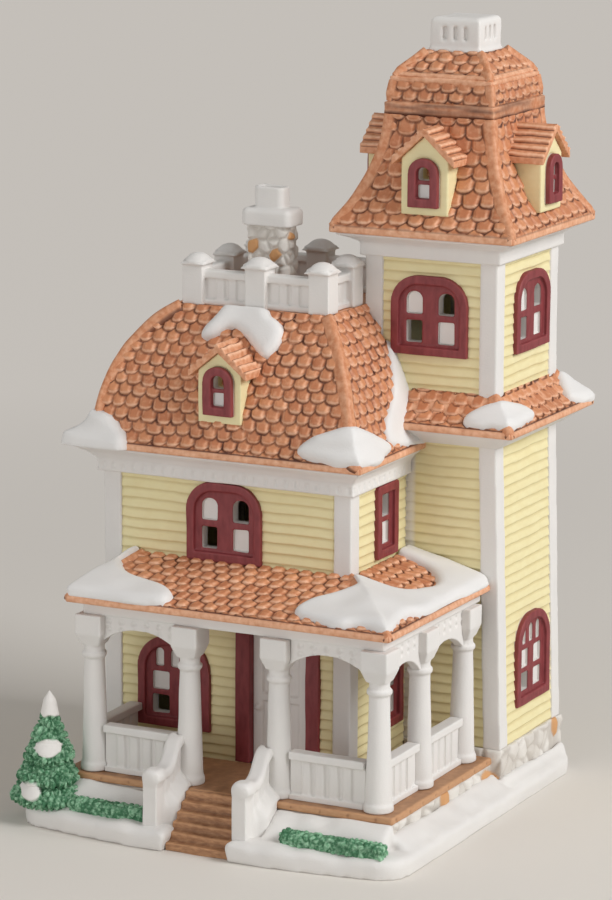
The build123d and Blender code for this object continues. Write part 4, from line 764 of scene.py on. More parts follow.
def bent(start, middle, end, count=30):
    """Points of the arc through three points of a roof's section."""
    start, middle, end = np.array(start), np.array(middle), np.array(end)
    rows = 2 * np.array([middle - start, end - start])
    centre = np.linalg.solve(rows, [middle @ middle - start @ start, end @ end - start @ start])
    turns = np.unwrap([math.atan2(*(point - centre)[::-1]) for point in (start, middle, end)])
    turns = np.linspace(turns[0], turns[2], count)
    return centre + np.linalg.norm(start - centre) * np.stack([np.cos(turns), np.sin(turns)], axis=1)


def scales(along, up, tab, course, seed):
    """Pillowed shingles in lapped rows: height, joint, lip (worn paint and painted highlight) and tone at
    points on a slope.
    """
    place = np.stack([along, up], axis=-1)
    up = up + 0.35 * mm * ripple(place, 9 * mm, seed + 2)
    along = along + 0.6 * mm * ripple(place, 7 * mm, seed + 3)
    row = np.floor(up / course)
    part = up / course - row

    def shingle(row):
        shift = 0.5 * (row % 2) + 0.3 * (lottery(row[..., None], seed) - 0.5)
        place = along / tab + shift
        number = np.floor(place)
        across = place - number - 0.5
        tone = lottery(np.stack([row, number], axis=-1), seed + 1)
        edge = 0.34 * (2 * np.abs(across)) ** 3 + 0.22 * (tone - 0.5) + 0.14
        return across, tone, edge

    across, tone, edge = shingle(row)
    across_below, tone_below = shingle(row - 1)[:2]
    above_edge = (part - edge) * course
    own = above_edge >= 0
    across = np.where(own, across, across_below)
    tone = np.where(own, tone, tone_below)
    part = np.where(own, part, part + 1)
    side = (0.5 - np.abs(across)) * tab - 0.35 * mm * np.clip(1.1 - part, 0, 1)
    rim = np.where(own, np.minimum(above_edge, side), side)
    pillow = 0.15 + 0.85 * smooth(rim, -0.2 * mm, 1.35 * mm)
    height = (1.12 - 0.45 * part) * pillow * (0.78 + 0.4 * tone)
    joint = np.exp(-((above_edge + 0.15 * mm) / (0.4 * mm)) ** 2)
    joint = np.maximum(joint, 0.9 * (1 - smooth(side, -0.1 * mm, 0.5 * mm)))
    joint = joint * (0.72 + 0.4 * ripple(place, 2.5 * mm, seed + 4))
    low_rim = np.where(own, above_edge, tab)
    lip = smooth(low_rim, 0.25 * mm, 0.5 * mm) * (1 - smooth(low_rim, 0.6 * mm, 1.2 * mm))
    lip = np.maximum(lip, 0.4 * smooth(side, 0.4 * mm, 0.7 * mm) * (1 - smooth(side, 0.8 * mm, 1.3 * mm)))
    return height, joint, lip, tone


def wiped_terracotta(name):
    finish = surface(name)
    tone, wear_and_shade = finish.mark("tone"), finish.grain(1.6 * mm, 4.0)
    body = (tone * 0.7 + wear_and_shade * 0.7 - 0.2).held()
    colour = finish.blend(body, terracotta_deep, terracotta_mid)
    # Pale lips: worn paint and a painted highlight, kept out of the hollows.
    pale = (finish.mark("lip") + wear_and_shade * 1.5 - 0.8 - finish.mark("hollow") * 0.4).held()
    colour = finish.blend(pale, colour, terracotta_light)
    # Dark: the wash in the joints, with painted shade in the hollows.
    dark = finish.mark("joint") * 1.15 + finish.grain(7 * mm) * 0.4 - 0.2 + finish.mark("hollow") * 0.6
    colour = finish.blend(dark.held(), colour, terracotta_wash)
    return finish.lay(colour, 0.68 - wear_and_shade * 0.22, wear_and_shade, 0.2 * mm)


terracotta = wiped_terracotta("wiped_terracotta")


def unit(vectors):
    """The same directions, each with a length of one."""
    return vectors / np.linalg.norm(vectors, axis=-1)[..., None]


class Roof:
    """A hipped roof: the eaves' low and high corners, and each side's section as (inset, height)."""

    sides = {"front": (1, -1, "left", "right"), "rear": (1, 1, "left", "right"),
             "left": (0, -1, "front", "rear"), "right": (0, 1, "front", "rear")}

    def __init__(self, name, low, high, sections, tab, course, edge, stops=None):
        self.name, self.low, self.high, self.sections = name, low, high, sections
        self.tab, self.course, self.edge, self.stops = tab, course, edge, stops or {}

    def inset(self, side, height):
        section = self.sections[side]
        return np.interp(height, section[:, 1], section[:, 0])

    def end(self, side, place, height):
        """Where a side stops along its eave at each height: at a hip, or at a fixed stop."""
        if (side, place) in self.stops:
            return 0 * height + self.stops[side, place]
        along = 1 - self.sides[side][0]
        if place == "low":
            return self.low[along] + self.inset(self.sides[side][2], height)
        return self.high[along] - self.inset(self.sides[side][3], height)

    def run(self, side):
        """The length of a side's section from its foot to each of its points."""
        return np.append(0, np.cumsum(np.linalg.norm(np.diff(self.sections[side], axis=0), axis=1)))

    def slope(self, side, step):
        """A grid of points over a side: their (along the eave, up the slope), places and normals, and
        each row's height and ends."""
        axis, outward = self.sides[side][:2]
        section, run = self.sections[side], self.run(side)
        up = np.linspace(0, run[-1], int(run[-1] / step) + 1)
        inset, height = np.interp(up, run, section[:, 0]), np.interp(up, run, section[:, 1])
        low, high = self.end(side, "low", height), self.end(side, "high", height)
        across = np.linspace(0, 1, int((high - low).max() / step) + 1)
        along = low[:, None] + across * (high - low)[:, None]
        place = np.stack([along, np.broadcast_to(up[:, None], along.shape)], axis=-1)
        ground, normal = np.zeros(along.shape + (3,)), np.zeros(along.shape + (3,))
        ground[..., axis] = (self.high if outward > 0 else self.low)[axis] - outward * inset[:, None]
        ground[..., 1 - axis] = along
        ground[..., 2] = height[:, None]
        normal[..., axis] = outward * np.gradient(height, up)[:, None]
        normal[..., 2] = np.gradient(inset, up)[:, None]
        return place, ground, normal, height, low, high

    def cover(self, side, seed):
        """The shingles of one side, from its drip edge to its top."""
        place, ground, normal = self.slope(side, shingle_step)[:3]
        along, rise = place[..., 0], place[..., 1]
        relief, joint, lip, tone = scales(along, rise - self.edge, self.tab, self.course, seed)
        strip = rise < self.edge
        relief = np.where(strip, 0.42, relief) * smooth(rise, -0.6 * mm, 0.5 * mm)
        joint = np.where(strip, smooth(rise, self.edge - 0.5 * mm, self.edge), joint)
        lip = np.where(strip, 0.6, lip)
        tone = np.where(strip, 0.7, tone)
        lift = shingle_lift * relief + 0.05 * mm * ripple(place, 5 * mm, seed)
        front, back = ground + normal * lift[..., None], ground - normal * shingle_back
        marks = {"joint": joint, "lip": lip, "tone": tone}
        piece = slab(f"{self.name}_shingles_{side}", front, back, marks)
        return place_piece(piece, terracotta)

    def hip(self, first, second, half):
        """A smooth saddle over the hip between a front or rear side and a left or right one."""
        section = self.sections[first]
        has_drip = abs(section[1, 0] - section[0, 0]) < 0.01 * mm
        heights = np.linspace(section[int(has_drip), 1], section[-1, 1], 60)
        x_sign, y_sign = (1 if second == "left" else -1), (1 if first == "front" else -1)
        x = (self.low if second == "left" else self.high)[0] + x_sign * self.inset(second, heights)
        y = (self.low if first == "front" else self.high)[1] + y_sign * self.inset(first, heights)
        line = np.stack([x, y, heights], axis=1)
        return saddle(f"{self.name}_hip_{first}_{second}", line, half)

    def drift(self, name, outlines, thick, rim, seed):
        """Snow lying within an outline on each side, given as (along the eave, height)."""
        joined = []
        for side, outline in outlines.items():
            axis = self.sides[side][0]
            before, after = self.sides[side][2:]
            heights = self.sections[side][:, 1]
            outline = np.array(outline) * mm
            over = outline[:, 1] - np.clip(outline[:, 1], heights[0], heights[-1])
            outline[:, 1] = np.interp(outline[:, 1], heights, self.run(side)) + over
            place, ground, normal, height, low, high = self.slope(side, snow_step)
            inside = within(place, rounded_outline(outline))
            part = np.clip(inside / rim, 0, 1)
            lift = thick * np.sqrt(part * (2 - part)) * (1 + 0.16 * ripple(place, 8 * mm, seed))
            lift = lift + 0.6 * mm * smooth(inside, 0, 0.4 * mm)
            lift = np.where(inside > 0, lift, np.maximum(1.6 * inside, -1.0 * mm))
            for neighbour, hip, ends in ((before, low, "low"), (after, high, "high")):
                if (side, ends) in self.stops:
                    continue
                lean = np.exp(-np.abs(place[..., 0] - hip[:, None]) / (2.5 * mm))
                steep = np.gradient(self.inset(neighbour, height), height, edge_order=1)
                size = np.hypot(1, steep)
                normal[..., 1 - axis] += lean * (1 if ends == "high" else -1) * (1 / size)[:, None]
                normal[..., 2] += lean * (steep / size)[:, None]
            normal = unit(normal)
            front = np.clip(ground + normal * lift[..., None], cad_low, cad_high)
            back = ground - normal * 1.4 * mm
            corners = [inside[:-1, :-1], inside[:-1, 1:], inside[1:, 1:], inside[1:, :-1]]
            keep = np.max(corners, axis=0) > -0.7 * mm
            joined.append(slab(f"{name}_{side}", front, back, {}, keep))
        lump = bmesh.new()
        for piece in joined:
            lump.from_mesh(piece.data)
            bpy.data.objects.remove(piece)
        mesh = bpy.data.meshes.new(name)
        lump.to_mesh(mesh)
        lump.free()
        return place_piece(sponge(name, mesh, snow_step, 7), snow)


def rounded_outline(outline, turns=3):
    """An outline with its corners cut again and again until they are round."""
    for turn in range(turns):
        after = np.roll(outline, -1, axis=0)
        cut = np.stack([0.75 * outline + 0.25 * after, 0.25 * outline + 0.75 * after], axis=1)
        outline = cut.reshape(-1, 2)
    return outline


def within(place, outline):
    """How far each place lies inside an outline; under 0 outside it."""
    nearest = np.full(place.shape[:-1], 1.0)
    inside = np.zeros(place.shape[:-1], bool)
    for start, end in zip(outline, np.roll(outline, -1, axis=0)):
        step = end - start
        share = np.clip((place - start) @ step / (step @ step + 1e-12), 0, 1)
        nearest = np.minimum(nearest, np.linalg.norm(place - start - share[..., None] * step, axis=-1))
        crosses = (place[..., 1] < start[1]) != (place[..., 1] < end[1])
        if start[1] != end[1]:
            reach = start[0] + (place[..., 1] - start[1]) / (end[1] - start[1]) * step[0]
            inside ^= crosses & (place[..., 0] < reach)
    return np.where(inside, nearest, -nearest)


def saddle(name, line, half, sides=20):
    """A rounded strip along a line of points, bent down on both sides like a ridge tile."""
    ahead = unit(np.gradient(line, axis=0))
    beside = unit(np.cross(ahead, [0, 0, 1.0]))
    over = np.cross(beside, ahead)
    gone = np.linalg.norm(line - line[0], axis=1)
    swell = (1 + 0.1 * ripple(line, 5 * mm, 41)) * (0.6 + 0.4 * smooth(gone, 0, 2.5 * mm))
    turns = np.linspace(0, 2 * math.pi, sides, endpoint=False)
    out, up = np.cos(turns), np.sin(turns)
    wide = half * swell[:, None] * out
    tall = hip_thick * swell[:, None] * up - hip_drop * np.abs(wide) ** 1.3 / half ** 0.3
    points = line[:, None] + wide[..., None] * beside[:, None] + tall[..., None] * over[:, None]
    count = len(line)
    index = np.arange(count * sides).reshape(count, sides)
    after = np.roll(index, -1, axis=1)
    quads = np.stack([index[:-1], after[:-1], after[1:], index[1:]], axis=-1).reshape(-1, 4)
    points = np.concatenate([points.reshape(-1, 3), line[:1], line[-1:]])
    every_other = np.arange(0, sides, 2)
    caps = []
    for tip, ring in ((count * sides, index[0][::-1]), (count * sides + 1, index[-1])):
        caps.append(np.stack([
            ring[every_other], ring[(every_other + 1) % sides], ring[(every_other + 2) % sides],
            np.full(len(every_other), tip)], axis=1))
    quads = np.concatenate([quads] + caps)[:, ::-1]
    grooved = np.concatenate([np.tile(smooth(np.abs(out), 0.8, 1.0) * 0.8, count), [0, 0]])
    marks = {"joint": grooved, "lip": np.full(len(points), 0.25), "tone": np.full(len(points), 0.6)}
    return place_piece(solid(name, points, quads, marks), terracotta)


# The main roof's section: a drip edge, a short flare, then a long bulging slope
main_low, main_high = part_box("main_roof")
drip = 1.5 * mm
flare_height = 8.6 * mm
flares = {"left": 8.7 * mm, "right": 4.3 * mm, "front": 2.6 * mm, "rear": 3.9 * mm}
bows = {"left": 0.18, "right": 0.38, "front": 0.44, "rear": 0.18}
runs = {"left": 27.5 * mm, "right": 20 * mm, "front": 20 * mm, "rear": 27 * mm}
main_sections = {}
for side, flare in flares.items():
    foot, knee, top = main_low.z + drip, main_low.z + flare_height, main_high.z
    flare_arc = bent((0, foot), (0.62 * flare, foot + 0.36 * (knee - foot)), (flare, knee))
    belly = (flare + bows[side] * (runs[side] - flare), knee + 0.51 * (top - knee))
    slope_arc = bent((flare, knee), belly, (runs[side], top))
    main_sections[side] = np.concatenate([[(0, main_low.z)], flare_arc, slope_arc[1:]])
main_stops = {("rear", "high"): tower_low.x + 1 * mm, ("right", "high"): tower_low.y + 1 * mm}
main_roof = Roof(
    "main_roof", main_low, main_high, main_sections, tab=4.7 * mm, course=3.45 * mm, edge=2.0 * mm,
    stops=main_stops)
for seed, side in enumerate(flares):
    main_roof.cover(side, 100 + 7 * seed)
for first, second in (("front", "left"), ("front", "right"), ("rear", "left")):
    main_roof.hip(first, second, hip_half)

# The porch roof's section: a drip edge and one straight slope up to the walls
porch_low, porch_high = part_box("porch_roof")
wall_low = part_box("front_wall")[0]
porch_runs = {
    "front": wall_low.y - porch_low.y, "right": porch_high.x - house_high.x, "left": 8 * mm, "rear": 1 * mm}
porch_sections = {
    side: np.array([(0, porch_low.z), (0, porch_low.z + drip), (run, porch_high.z)])
    for side, run in porch_runs.items()}
porch_stops = {("right", "high"): porch_high.y, ("left", "high"): wall_low.y}
porch_roof = Roof(
    "porch_roof", porch_low, porch_high, porch_sections, tab=4.5 * mm, course=4.6 * mm, edge=2.0 * mm,
    stops=porch_stops)
for seed, side in enumerate(("front", "right", "left")):
    porch_roof.cover(side, 150 + 7 * seed)
for second in ("left", "right"):
    porch_roof.hip("front", second, hip_half)

# The skirt round the tower: a drip edge and one hollow curve, on the three sides clear of the main roof
skirt_low, skirt_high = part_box("tower_skirt_roof")
skirt_run, skirt_top = 9.2 * mm, skirt_high.z
skirt_rise = skirt_top - skirt_low.z
skirt_belly = (0.56 * skirt_run, skirt_low.z + 0.52 * skirt_rise)
skirt_curve = bent((0, skirt_low.z + 1.4 * mm), skirt_belly, (skirt_run, skirt_top))
skirt_section = np.concatenate([[(0, skirt_low.z)], skirt_curve])
skirt_sections = {side: skirt_section for side in flares}
skirt_stops = {("front", "low"): house_high.x + 1 * mm, ("rear", "low"): skirt_low.x}
skirt_roof = Roof(
    "skirt_roof", skirt_low, skirt_high, skirt_sections, tab=5.2 * mm, course=3.8 * mm, edge=2.0 * mm,
    stops=skirt_stops)
for seed, side in enumerate(("front", "right", "rear")):
    skirt_roof.cover(side, 180 + 7 * seed)
for first in ("front", "rear"):
    skirt_roof.hip(first, "right", hip_half)

# The tower roof: hollow slopes, a belt, a leaning crown of two courses, a lip and short top slopes
spire_low, spire_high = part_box("tower_roof")
spire_run, spire_rise = 12.8 * mm, 34.7 * mm
belt_rise, crown_rise, lip_rise, crown_batter = 3.8 * mm, 6.0 * mm, 1.4 * mm, 1.0 * mm
spire_curve = bent(
    (0, spire_low.z + 1.8 * mm), (0.54 * spire_run, spire_low.z + 0.36 * spire_rise),
    (spire_run, spire_low.z + spire_rise))
spire_section = np.concatenate([[(0, spire_low.z)], spire_curve])
spire_sections = {side: spire_section for side in flares}
spire_roof = Roof(
    "tower_roof", spire_low, spire_high, spire_sections, tab=5.5 * mm, course=4.1 * mm, edge=2.2 * mm)
inward = Vector((spire_run, spire_run, 0))
crown_foot = spire_low.z + spire_rise + belt_rise
crown_top = crown_foot + crown_rise
crown_section = np.array([(0, crown_foot), (crown_batter, crown_top)])
crown_sections = {side: crown_section for side in flares}
crown_roof = Roof(
    "crown", spire_low + inward, spire_high - inward, crown_sections, tab=5.0 * mm, course=3.0 * mm,
    edge=0.0)
cap_low, cap_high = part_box("tower_cap")
top_foot = crown_top + lip_rise
top_reach = {
    "left": cap_low.x - spire_low.x, "right": spire_high.x - cap_high.x, "front": cap_low.y - spire_low.y,
    "rear": spire_high.y - cap_high.y}
top_sections = {
    side: np.array([(crown_batter, top_foot), (reach - spire_run, spire_high.z)])
    for side, reach in top_reach.items()}
top_roof = Roof(
    "top", spire_low + inward, spire_high - inward, top_sections, tab=4.6 * mm, course=3.6 * mm,
    edge=1.6 * mm)
hip_shares = (1.0, 0.75, 0.9)
for number, roof in enumerate((spire_roof, crown_roof, top_roof)):
    for seed, side in enumerate(flares):
        roof.cover(side, 210 + 40 * number + 7 * seed)
    for first, second in itertools.product(("front", "rear"), ("left", "right")):
        roof.hip(first, second, hip_half * hip_shares[number])


def streaked(points, normals):
    """Long streaks of wash on the belt and the lip, and a dark line where the belt meets the slopes."""
    streak = ripple(points * (0.12, 0.12, 1), 0.9 * mm, 93)
    above_belt = points[:, 2] - crown_foot + belt_rise
    belt = smooth(above_belt, -0.6 * mm, 0) * (1 - smooth(above_belt - belt_rise, 0, 0.6 * mm))
    seam = 1 - smooth(np.abs(above_belt), 0.3 * mm, 1.0 * mm)
    joint = np.clip(belt * (0.42 + 0.45 * streak) + 0.5 * seam, 0, 1)
    return 0.12 * mm * streak, {"joint": joint, "lip": 0.4 + 0.3 * streak, "tone": 0 * streak + 0.5}


cast("tower_roof", terracotta, 0.5 * mm, 3, carve=streaked)
for node in ("main_roof", "porch_roof", "tower_skirt_roof"):
    cast(node, terracotta, 0.75 * mm, 2, carve=streaked)

# The dormers
# Small gabled boxes let into the slopes, one on the house and four on the tower, pale yellow like the
# walls. Their terracotta roofs are lapped in long courses that run with the ridge.
lap_width = 2.0 * mm
lap_step = 0.75 * mm


def lapped(points, normals):
    """Courses that run with each dormer's ridge, stepped down from the ridge to the eave."""
    offset = points[:, :2] - np.where(
        points[:, 2:] > tower_low.z, np.array(tower_middle)[:2], np.array(main_dormer_middle)[:2])
    sideways = (np.abs(offset[:, 0]) > np.abs(offset[:, 1])) & (points[:, 2] > tower_low.z)
    across = np.abs(np.where(sideways, offset[:, 1], offset[:, 0]))
    across = across + 0.25 * mm * ripple(points, 4 * mm, 71)
    part = (across / lap_width) % 1
    upper = smooth(normals[:, 2], 0.3, 0.6)
    step = smooth(part, 0, 0.7) * (1 - smooth(part, 0.86, 1.0))
    joint = np.maximum(1 - smooth(part, 0, 0.14), smooth(part, 0.92, 1.0)) * upper
    # The pale step edges are worn paint and a painted highlight.
    lip = smooth(part, 0.45, 0.7) * (1 - smooth(part, 0.84, 0.95)) * upper
    marks = {"joint": 0.8 * joint, "lip": 0.3 + 0.7 * lip, "tone": 0 * part + 0.7}
    return lap_step * (step - 0.4) * upper, marks


dormer_low, dormer_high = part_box("main_dormer")
main_dormer_middle = (dormer_low + dormer_high) / 2
for node in ("main_dormer", "tower_dormers"):
    cast(node, siding, 0.35 * mm, 2)
for node in ("main_dormer_roof", "tower_dormer_roofs"):
    cast(node, terracotta, 0.28 * mm, 2, carve=lapped)

# The balustrade, the chimney and the tower's cap
# A ring of posts and panels round the flat roof with snow heaped on the posts, a stone chimney behind it
# and a square block on top of the tower. All are bare bisque but the chimney's stones, which are washed
# grey, a few of them touched with tan.
post_rise = 12.2 * mm
head_rise = 2.6 * mm
chimney_tan = np.array([(-22.5, 8.9, 168), (-15, 8.9, 163.5), (-11, 12, 168.5)]) * mm


def domed(points, normals):
    """Round every post's head into a cushion of snow, tucked in over the post."""
    move = np.zeros(points.shape)
    head_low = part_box("roof_balustrade")[0].z + post_rise
    for low, high in solid_boxes("roof_balustrade"):
        if high.z < head_low + head_rise / 2:
            continue
        offset = points[:, :2] - np.array(low + high)[:2] / 2
        reach = np.linalg.norm(offset, axis=1) / ((high.x - low.x) / 2)
        up = np.clip((points[:, 2] - head_low) / head_rise, 0, 1)
        on_head = (up > 0) & (reach < 1.6)
        round_plan = np.minimum(1, 1.12 / np.maximum(reach, 0.1)) - 1
        plan = round_plan * smooth(up, 0, 0.4) - 0.1 * smooth(up, 0.6, 1.0)
        cushion = (0.7 * mm - 1.5 * mm * np.minimum(reach, 1.2) ** 2) * smooth(up, 0.3, 1.0)
        move[on_head, :2] = (offset * plan[:, None])[on_head]
        move[on_head, 2] = cushion[on_head]
    return move, {}


cast("roof_balustrade", bisque, 0.3 * mm, 9, carve=domed)
chimney_finish = cobbled("chimney_stones", 0.35)
cast(
    "chimney_stack", chimney_finish, 0.3 * mm, 3, 0.1 * mm,
    cobble_relief(3.5 * mm, 0.8 * mm, chimney_tan, 23))
cast("chimney_cap", bisque, 0.3 * mm, 14, 0.25 * mm)
cast("tower_cap", bisque, 0.35 * mm, 9, 0.3 * mm)

# Snow on the roofs
# Smooth drifts laid on the porch, the main roof and the skirt in the same clay, thick and round-edged.
# They stay bare and are sponged until no edge is left.
snow_light = paint(232, 230, 228)
snow_cool = paint(223, 222, 221)
snow_shade = paint(170, 164, 160)
snow = bare_bisque("snow", snow_light, snow_cool, snow_shade, 0.4)
snow_step = 0.5 * mm
snow_rim = 3.2 * mm
deep_snow = 2.5 * mm
thin_snow = 1.3 * mm
main_drifts = {
    "left_corner": {
        "front": [(-75, 100), (-45.5, 100), (-45.5, 110), (-49, 114), (-53, 117.6), (-58, 118), (-75, 121)],
        "left": [(-35, 100), (-8, 100), (-9, 110), (-14, 115), (-20, 118), (-35, 121)]},
    "right_corner": {
        "front": [(9.5, 111), (14, 109.6), (19, 109.4), (23, 108.6), (28, 109), (40, 108.6), (40, 121.5),
                  (25.5, 121), (19.5, 118.6), (15, 117), (11, 114.5)],
        "right": [(-35, 108.6), (-24, 109), (-18, 108.2), (-13, 108.2), (-8, 109.4), (-3, 109.6), (-4, 112.5),
                  (-8, 115.5), (-16, 118.5), (-22, 121), (-35, 121.5)]},
    "tower_side": {
        "right": [(24, 108), (10, 109), (3, 110), (-2, 111), (-3, 114.5), (-1, 118.5), (4, 121.5), (9, 125),
                  (13, 131), (16, 138), (24, 142)]},
    "ridge": {
        "front": [(-22, 153), (-25, 146.5), (-28.5, 143), (-28.5, 139.5), (-24, 140), (-19.5, 144),
                  (-15, 142.5), (-10, 138.5), (-5.5, 135.5), (-2, 139.5), (-1.4, 144), (-4, 146.5),
                  (-8, 148), (-9, 153)]},
}
porch_drifts = {
    "left_end": {
        "front": [(-62, 67.4), (-40, 67.5), (-28, 67.2), (-19, 67.6), (-19, 69), (-24, 70), (-31, 70.6),
                  (-38, 71), (-43.5, 72), (-47.5, 74), (-49.5, 78), (-62, 78)],
        "left": [(-62, 67.4), (-19, 67.4), (-19, 80), (-62, 80)]},
    "right_corner": {
        "front": [(19, 68.6), (29, 68), (37, 67.4), (42, 68.2), (52, 67.6), (65, 67.5), (65, 79), (31.5, 79),
                  (30.5, 73.6), (26.5, 71.8), (20.5, 70.4)],
        "right": [(-65, 67.5), (-48, 67.7), (-40, 68.2), (-33, 68.2), (-27, 67.3), (-12, 67.6), (4, 67.3),
                  (24, 67), (24, 80), (9.5, 80), (9.5, 72.4), (5, 71), (-1, 70), (-6, 69.8), (-11, 70.2),
                  (-16, 70.4), (-20, 71.5), (-21, 80), (-65, 80)]},
}
skirt_drifts = {
    "front_corner": {
        "front": [(46.5, 116.6), (52, 116), (57, 116.6), (70, 116), (70, 124.5), (58, 124), (53, 122.8),
                  (50, 121.4), (46.5, 119)],
        "right": [(0, 116), (8, 117), (14, 116), (20, 116.4), (30, 116.6), (30, 118.5), (27.5, 121),
                  (22, 122.4), (17, 123.8), (0, 124.5)]},
    "rear_corner": {
        "right": [(57, 117), (63, 115.4), (82, 115), (82, 126), (64, 126), (60, 122), (57, 119)],
        "rear": [(46, 117), (54, 115.4), (72, 115), (72, 126), (56, 126), (50, 122), (46, 119)]},
}
for roof, node, drifts in (
        (main_roof, "main_roof_snow", main_drifts), (porch_roof, "porch_snow", porch_drifts),
        (skirt_roof, "tower_skirt_snow", skirt_drifts)):
    for seed, (name, outlines) in enumerate(drifts.items()):
        thick = thin_snow if name == "tower_side" else deep_snow
        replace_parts(roof.drift(f"{node}_{name}", outlines, thick, snow_rim, 300 + 9 * seed), node)

# The fir and the hedges
# A bushy fir at the corner and two clipped hedges along the front, tooled into tufts while damp. They
# are stippled green over a dark wash, with snow left white on the fir.
leaf_light = paint(182, 222, 190)
leaf_mid = paint(108, 174, 130)
leaf_deep = paint(26, 84, 50)
fir_low, fir_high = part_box("evergreen_tree")
fir_middle = np.array(fir_low + fir_high)[:2] / 2
fir_turn = math.radians(26.5)
fir_facing = np.array([math.sin(fir_turn), -math.cos(fir_turn)])
fir_across = np.array([math.cos(fir_turn), math.sin(fir_turn)])
fir_snow = [(0.2, 23.4, 3.7, 2.9), (-4.8, 10.8, 3.0, 2.8), (-8.2, 20.5, 1.2, 2.2)]
fir_swell = 0.7 * mm


def tufts(size, depth, seed):
    """Tooled tufts of about the given size, each with a tone of its own."""
    def carve(points, normals):
        inside, number = cobbles(points * (1, 1, 0.7), size, seed)
        swell = smooth(inside, 0, 0.5 * size)
        joint = 1 - smooth(inside, 0, 0.28 * size)
        return depth * (swell - 0.6), {"joint": joint, "tone": number}
    return carve


def snowy_tufts(points, normals):
    """The fir's tufts, with its white tip and a few smooth pats of snow."""
    push, marks = tufts(1.6 * mm, 1.2 * mm, 61)(points, normals)
    push = push + 1.1 * mm * ripple(points, 8 * mm, 62)
    offset = points[:, :2] - fir_middle
    ragged = 0.22 * ripple(points, 1.7 * mm, 63)
    white = smooth(points[:, 2] - fir_high.z + 7.5 * mm + 6 * mm * ragged, 0, 0.6 * mm)
    dome = 0 * white
    for across, height, half_width, half_height in fir_snow:
        wide = (offset @ fir_across - across * mm) / (half_width * mm)
        tall = (points[:, 2] - height * mm) / (half_height * mm)
        gap = wide ** 2 + tall ** 2 + ragged
        facing = offset @ fir_facing > -2 * mm
        white = np.maximum(white, facing * (1 - smooth(gap, 0.85, 1.0)))
        dome = np.maximum(dome, facing * np.sqrt(np.clip(1 - gap, 0, 1)))
    push = fir_swell * (1 - smooth(points[:, 2], 20 * mm, 34 * mm)) + push * (1 - white) + 0.7 * mm * dome
    return push, {"joint": marks["joint"] * (1 - white), "tone": marks["tone"], "snow": white}


def stippled_green(name):
    finish = surface(name)
    tone, dabs = finish.mark("tone"), finish.grain(0.9 * mm, 4.0)
    colour = finish.blend((tone * 0.5 + dabs * 0.9 - 0.2).held(), leaf_deep, leaf_mid)
    colour = finish.blend((dabs * 2.4 + tone * 0.5 - 1.25).held(), colour, leaf_light)
    dark = finish.mark("joint") * 0.8 + finish.grain(1.4 * mm, 2.0) * 1.5 - 1.0
    colour = finish.blend(dark.held(), colour, leaf_deep)
    colour = finish.blend(finish.mark("snow"), colour, bisque_light)
    return finish.lay(colour, 0.72 - dabs * 0.15, dabs, 0.15 * mm)


green = stippled_green("stippled_green")
cast("evergreen_tree", green, 0.3 * mm, 9, 0.1 * mm, snowy_tufts)
cast("hedges", green, 0.3 * mm, 4, 0.15 * mm, tufts(1.7 * mm, 0.5 * mm, 67))

# The plug-in lamp
# A moulded holder with two bow springs pushes into the round hole at the back. A small clear screw bulb
# stands in it: a blown glass shell over a filament, on a threaded brass cap.
glass_wall = 0.5 * mm
thread_pitch = 2.2 * mm
thread_depth = 0.45 * mm
wire_radius = 0.22 * mm
lead_length = 17 * mm
lead_foot = 1.2 * mm
filament_half = 3.8 * mm
filament_radius = 0.6 * mm
filament_loops = 14


def cover_cad(node, finish):
    """Put a finish on a CAD node that stays in sight."""
    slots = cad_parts[node].data.materials
    slots.clear()
    slots.append(finish)


def turned(name, profile, pitch=0.0, depth=0.0, sides=72):
    """A round piece on the lamp's axis from a closed profile of (radius, place along Y, thread)."""
    profile = np.array(profile)
    turns = np.linspace(0, 2 * math.pi, sides, endpoint=False)
    radius = np.broadcast_to(profile[:, :1], (len(profile), sides))
    if pitch:
        wave = 0.5 + 0.5 * np.cos(2 * math.pi * profile[:, 1:2] / pitch - turns)
        radius = radius - depth * profile[:, 2:] * wave
    along = np.broadcast_to(profile[:, 1:2], radius.shape)
    points = np.stack([
        lamp_axis.x + radius * np.cos(turns), along, lamp_axis.z + radius * np.sin(turns)], axis=-1)
    index = np.arange(points.shape[0] * sides).reshape(-1, sides)
    below, after = np.roll(index, -1, axis=0), np.roll(index, -1, axis=1)
    quads = np.stack([index, below, np.roll(below, -1, axis=1), after], axis=-1).reshape(-1, 4)
    return solid(name, points.reshape(-1, 3), quads, {})


def wire(name, line, sides=10):
    """A round wire along a line of points, closed by small flat ends."""
    ahead = unit(np.gradient(line, axis=0))
    beside = unit(np.cross(ahead, [0.31, 0.17, 0.93]))
    over = np.cross(beside, ahead)
    turns = np.linspace(0, 2 * math.pi, sides, endpoint=False)
    rings = line[:, None] + wire_radius * (
        np.cos(turns)[:, None] * beside[:, None] + np.sin(turns)[:, None] * over[:, None])
    rings = np.concatenate([line[None, :1].repeat(sides, 1), rings, line[None, -1:].repeat(sides, 1)])
    index = np.arange(rings.shape[0] * sides).reshape(-1, sides)
    after = np.roll(index, -1, axis=1)
    quads = np.stack([index[:-1], index[1:], after[1:], after[:-1]], axis=-1).reshape(-1, 4)
    return solid(name, rings.reshape(-1, 3), quads, {})


def lamp_finish(name, light, deep, size, roughness, metallic=0.0, clear=0.0):
    """A plain finish in two near tones: moulded plastic, bare metal or blown glass."""
    finish = surface(name)
    finish.shader.inputs["Metallic"].default_value = metallic
    finish.shader.inputs["Transmission Weight"].default_value = clear
    clouds = finish.grain(size)
    colour = finish.blend((clouds * 2.0 - 0.5).held(), light, deep)
    return finish.lay(colour, roughness + clouds * 0.5 * roughness)


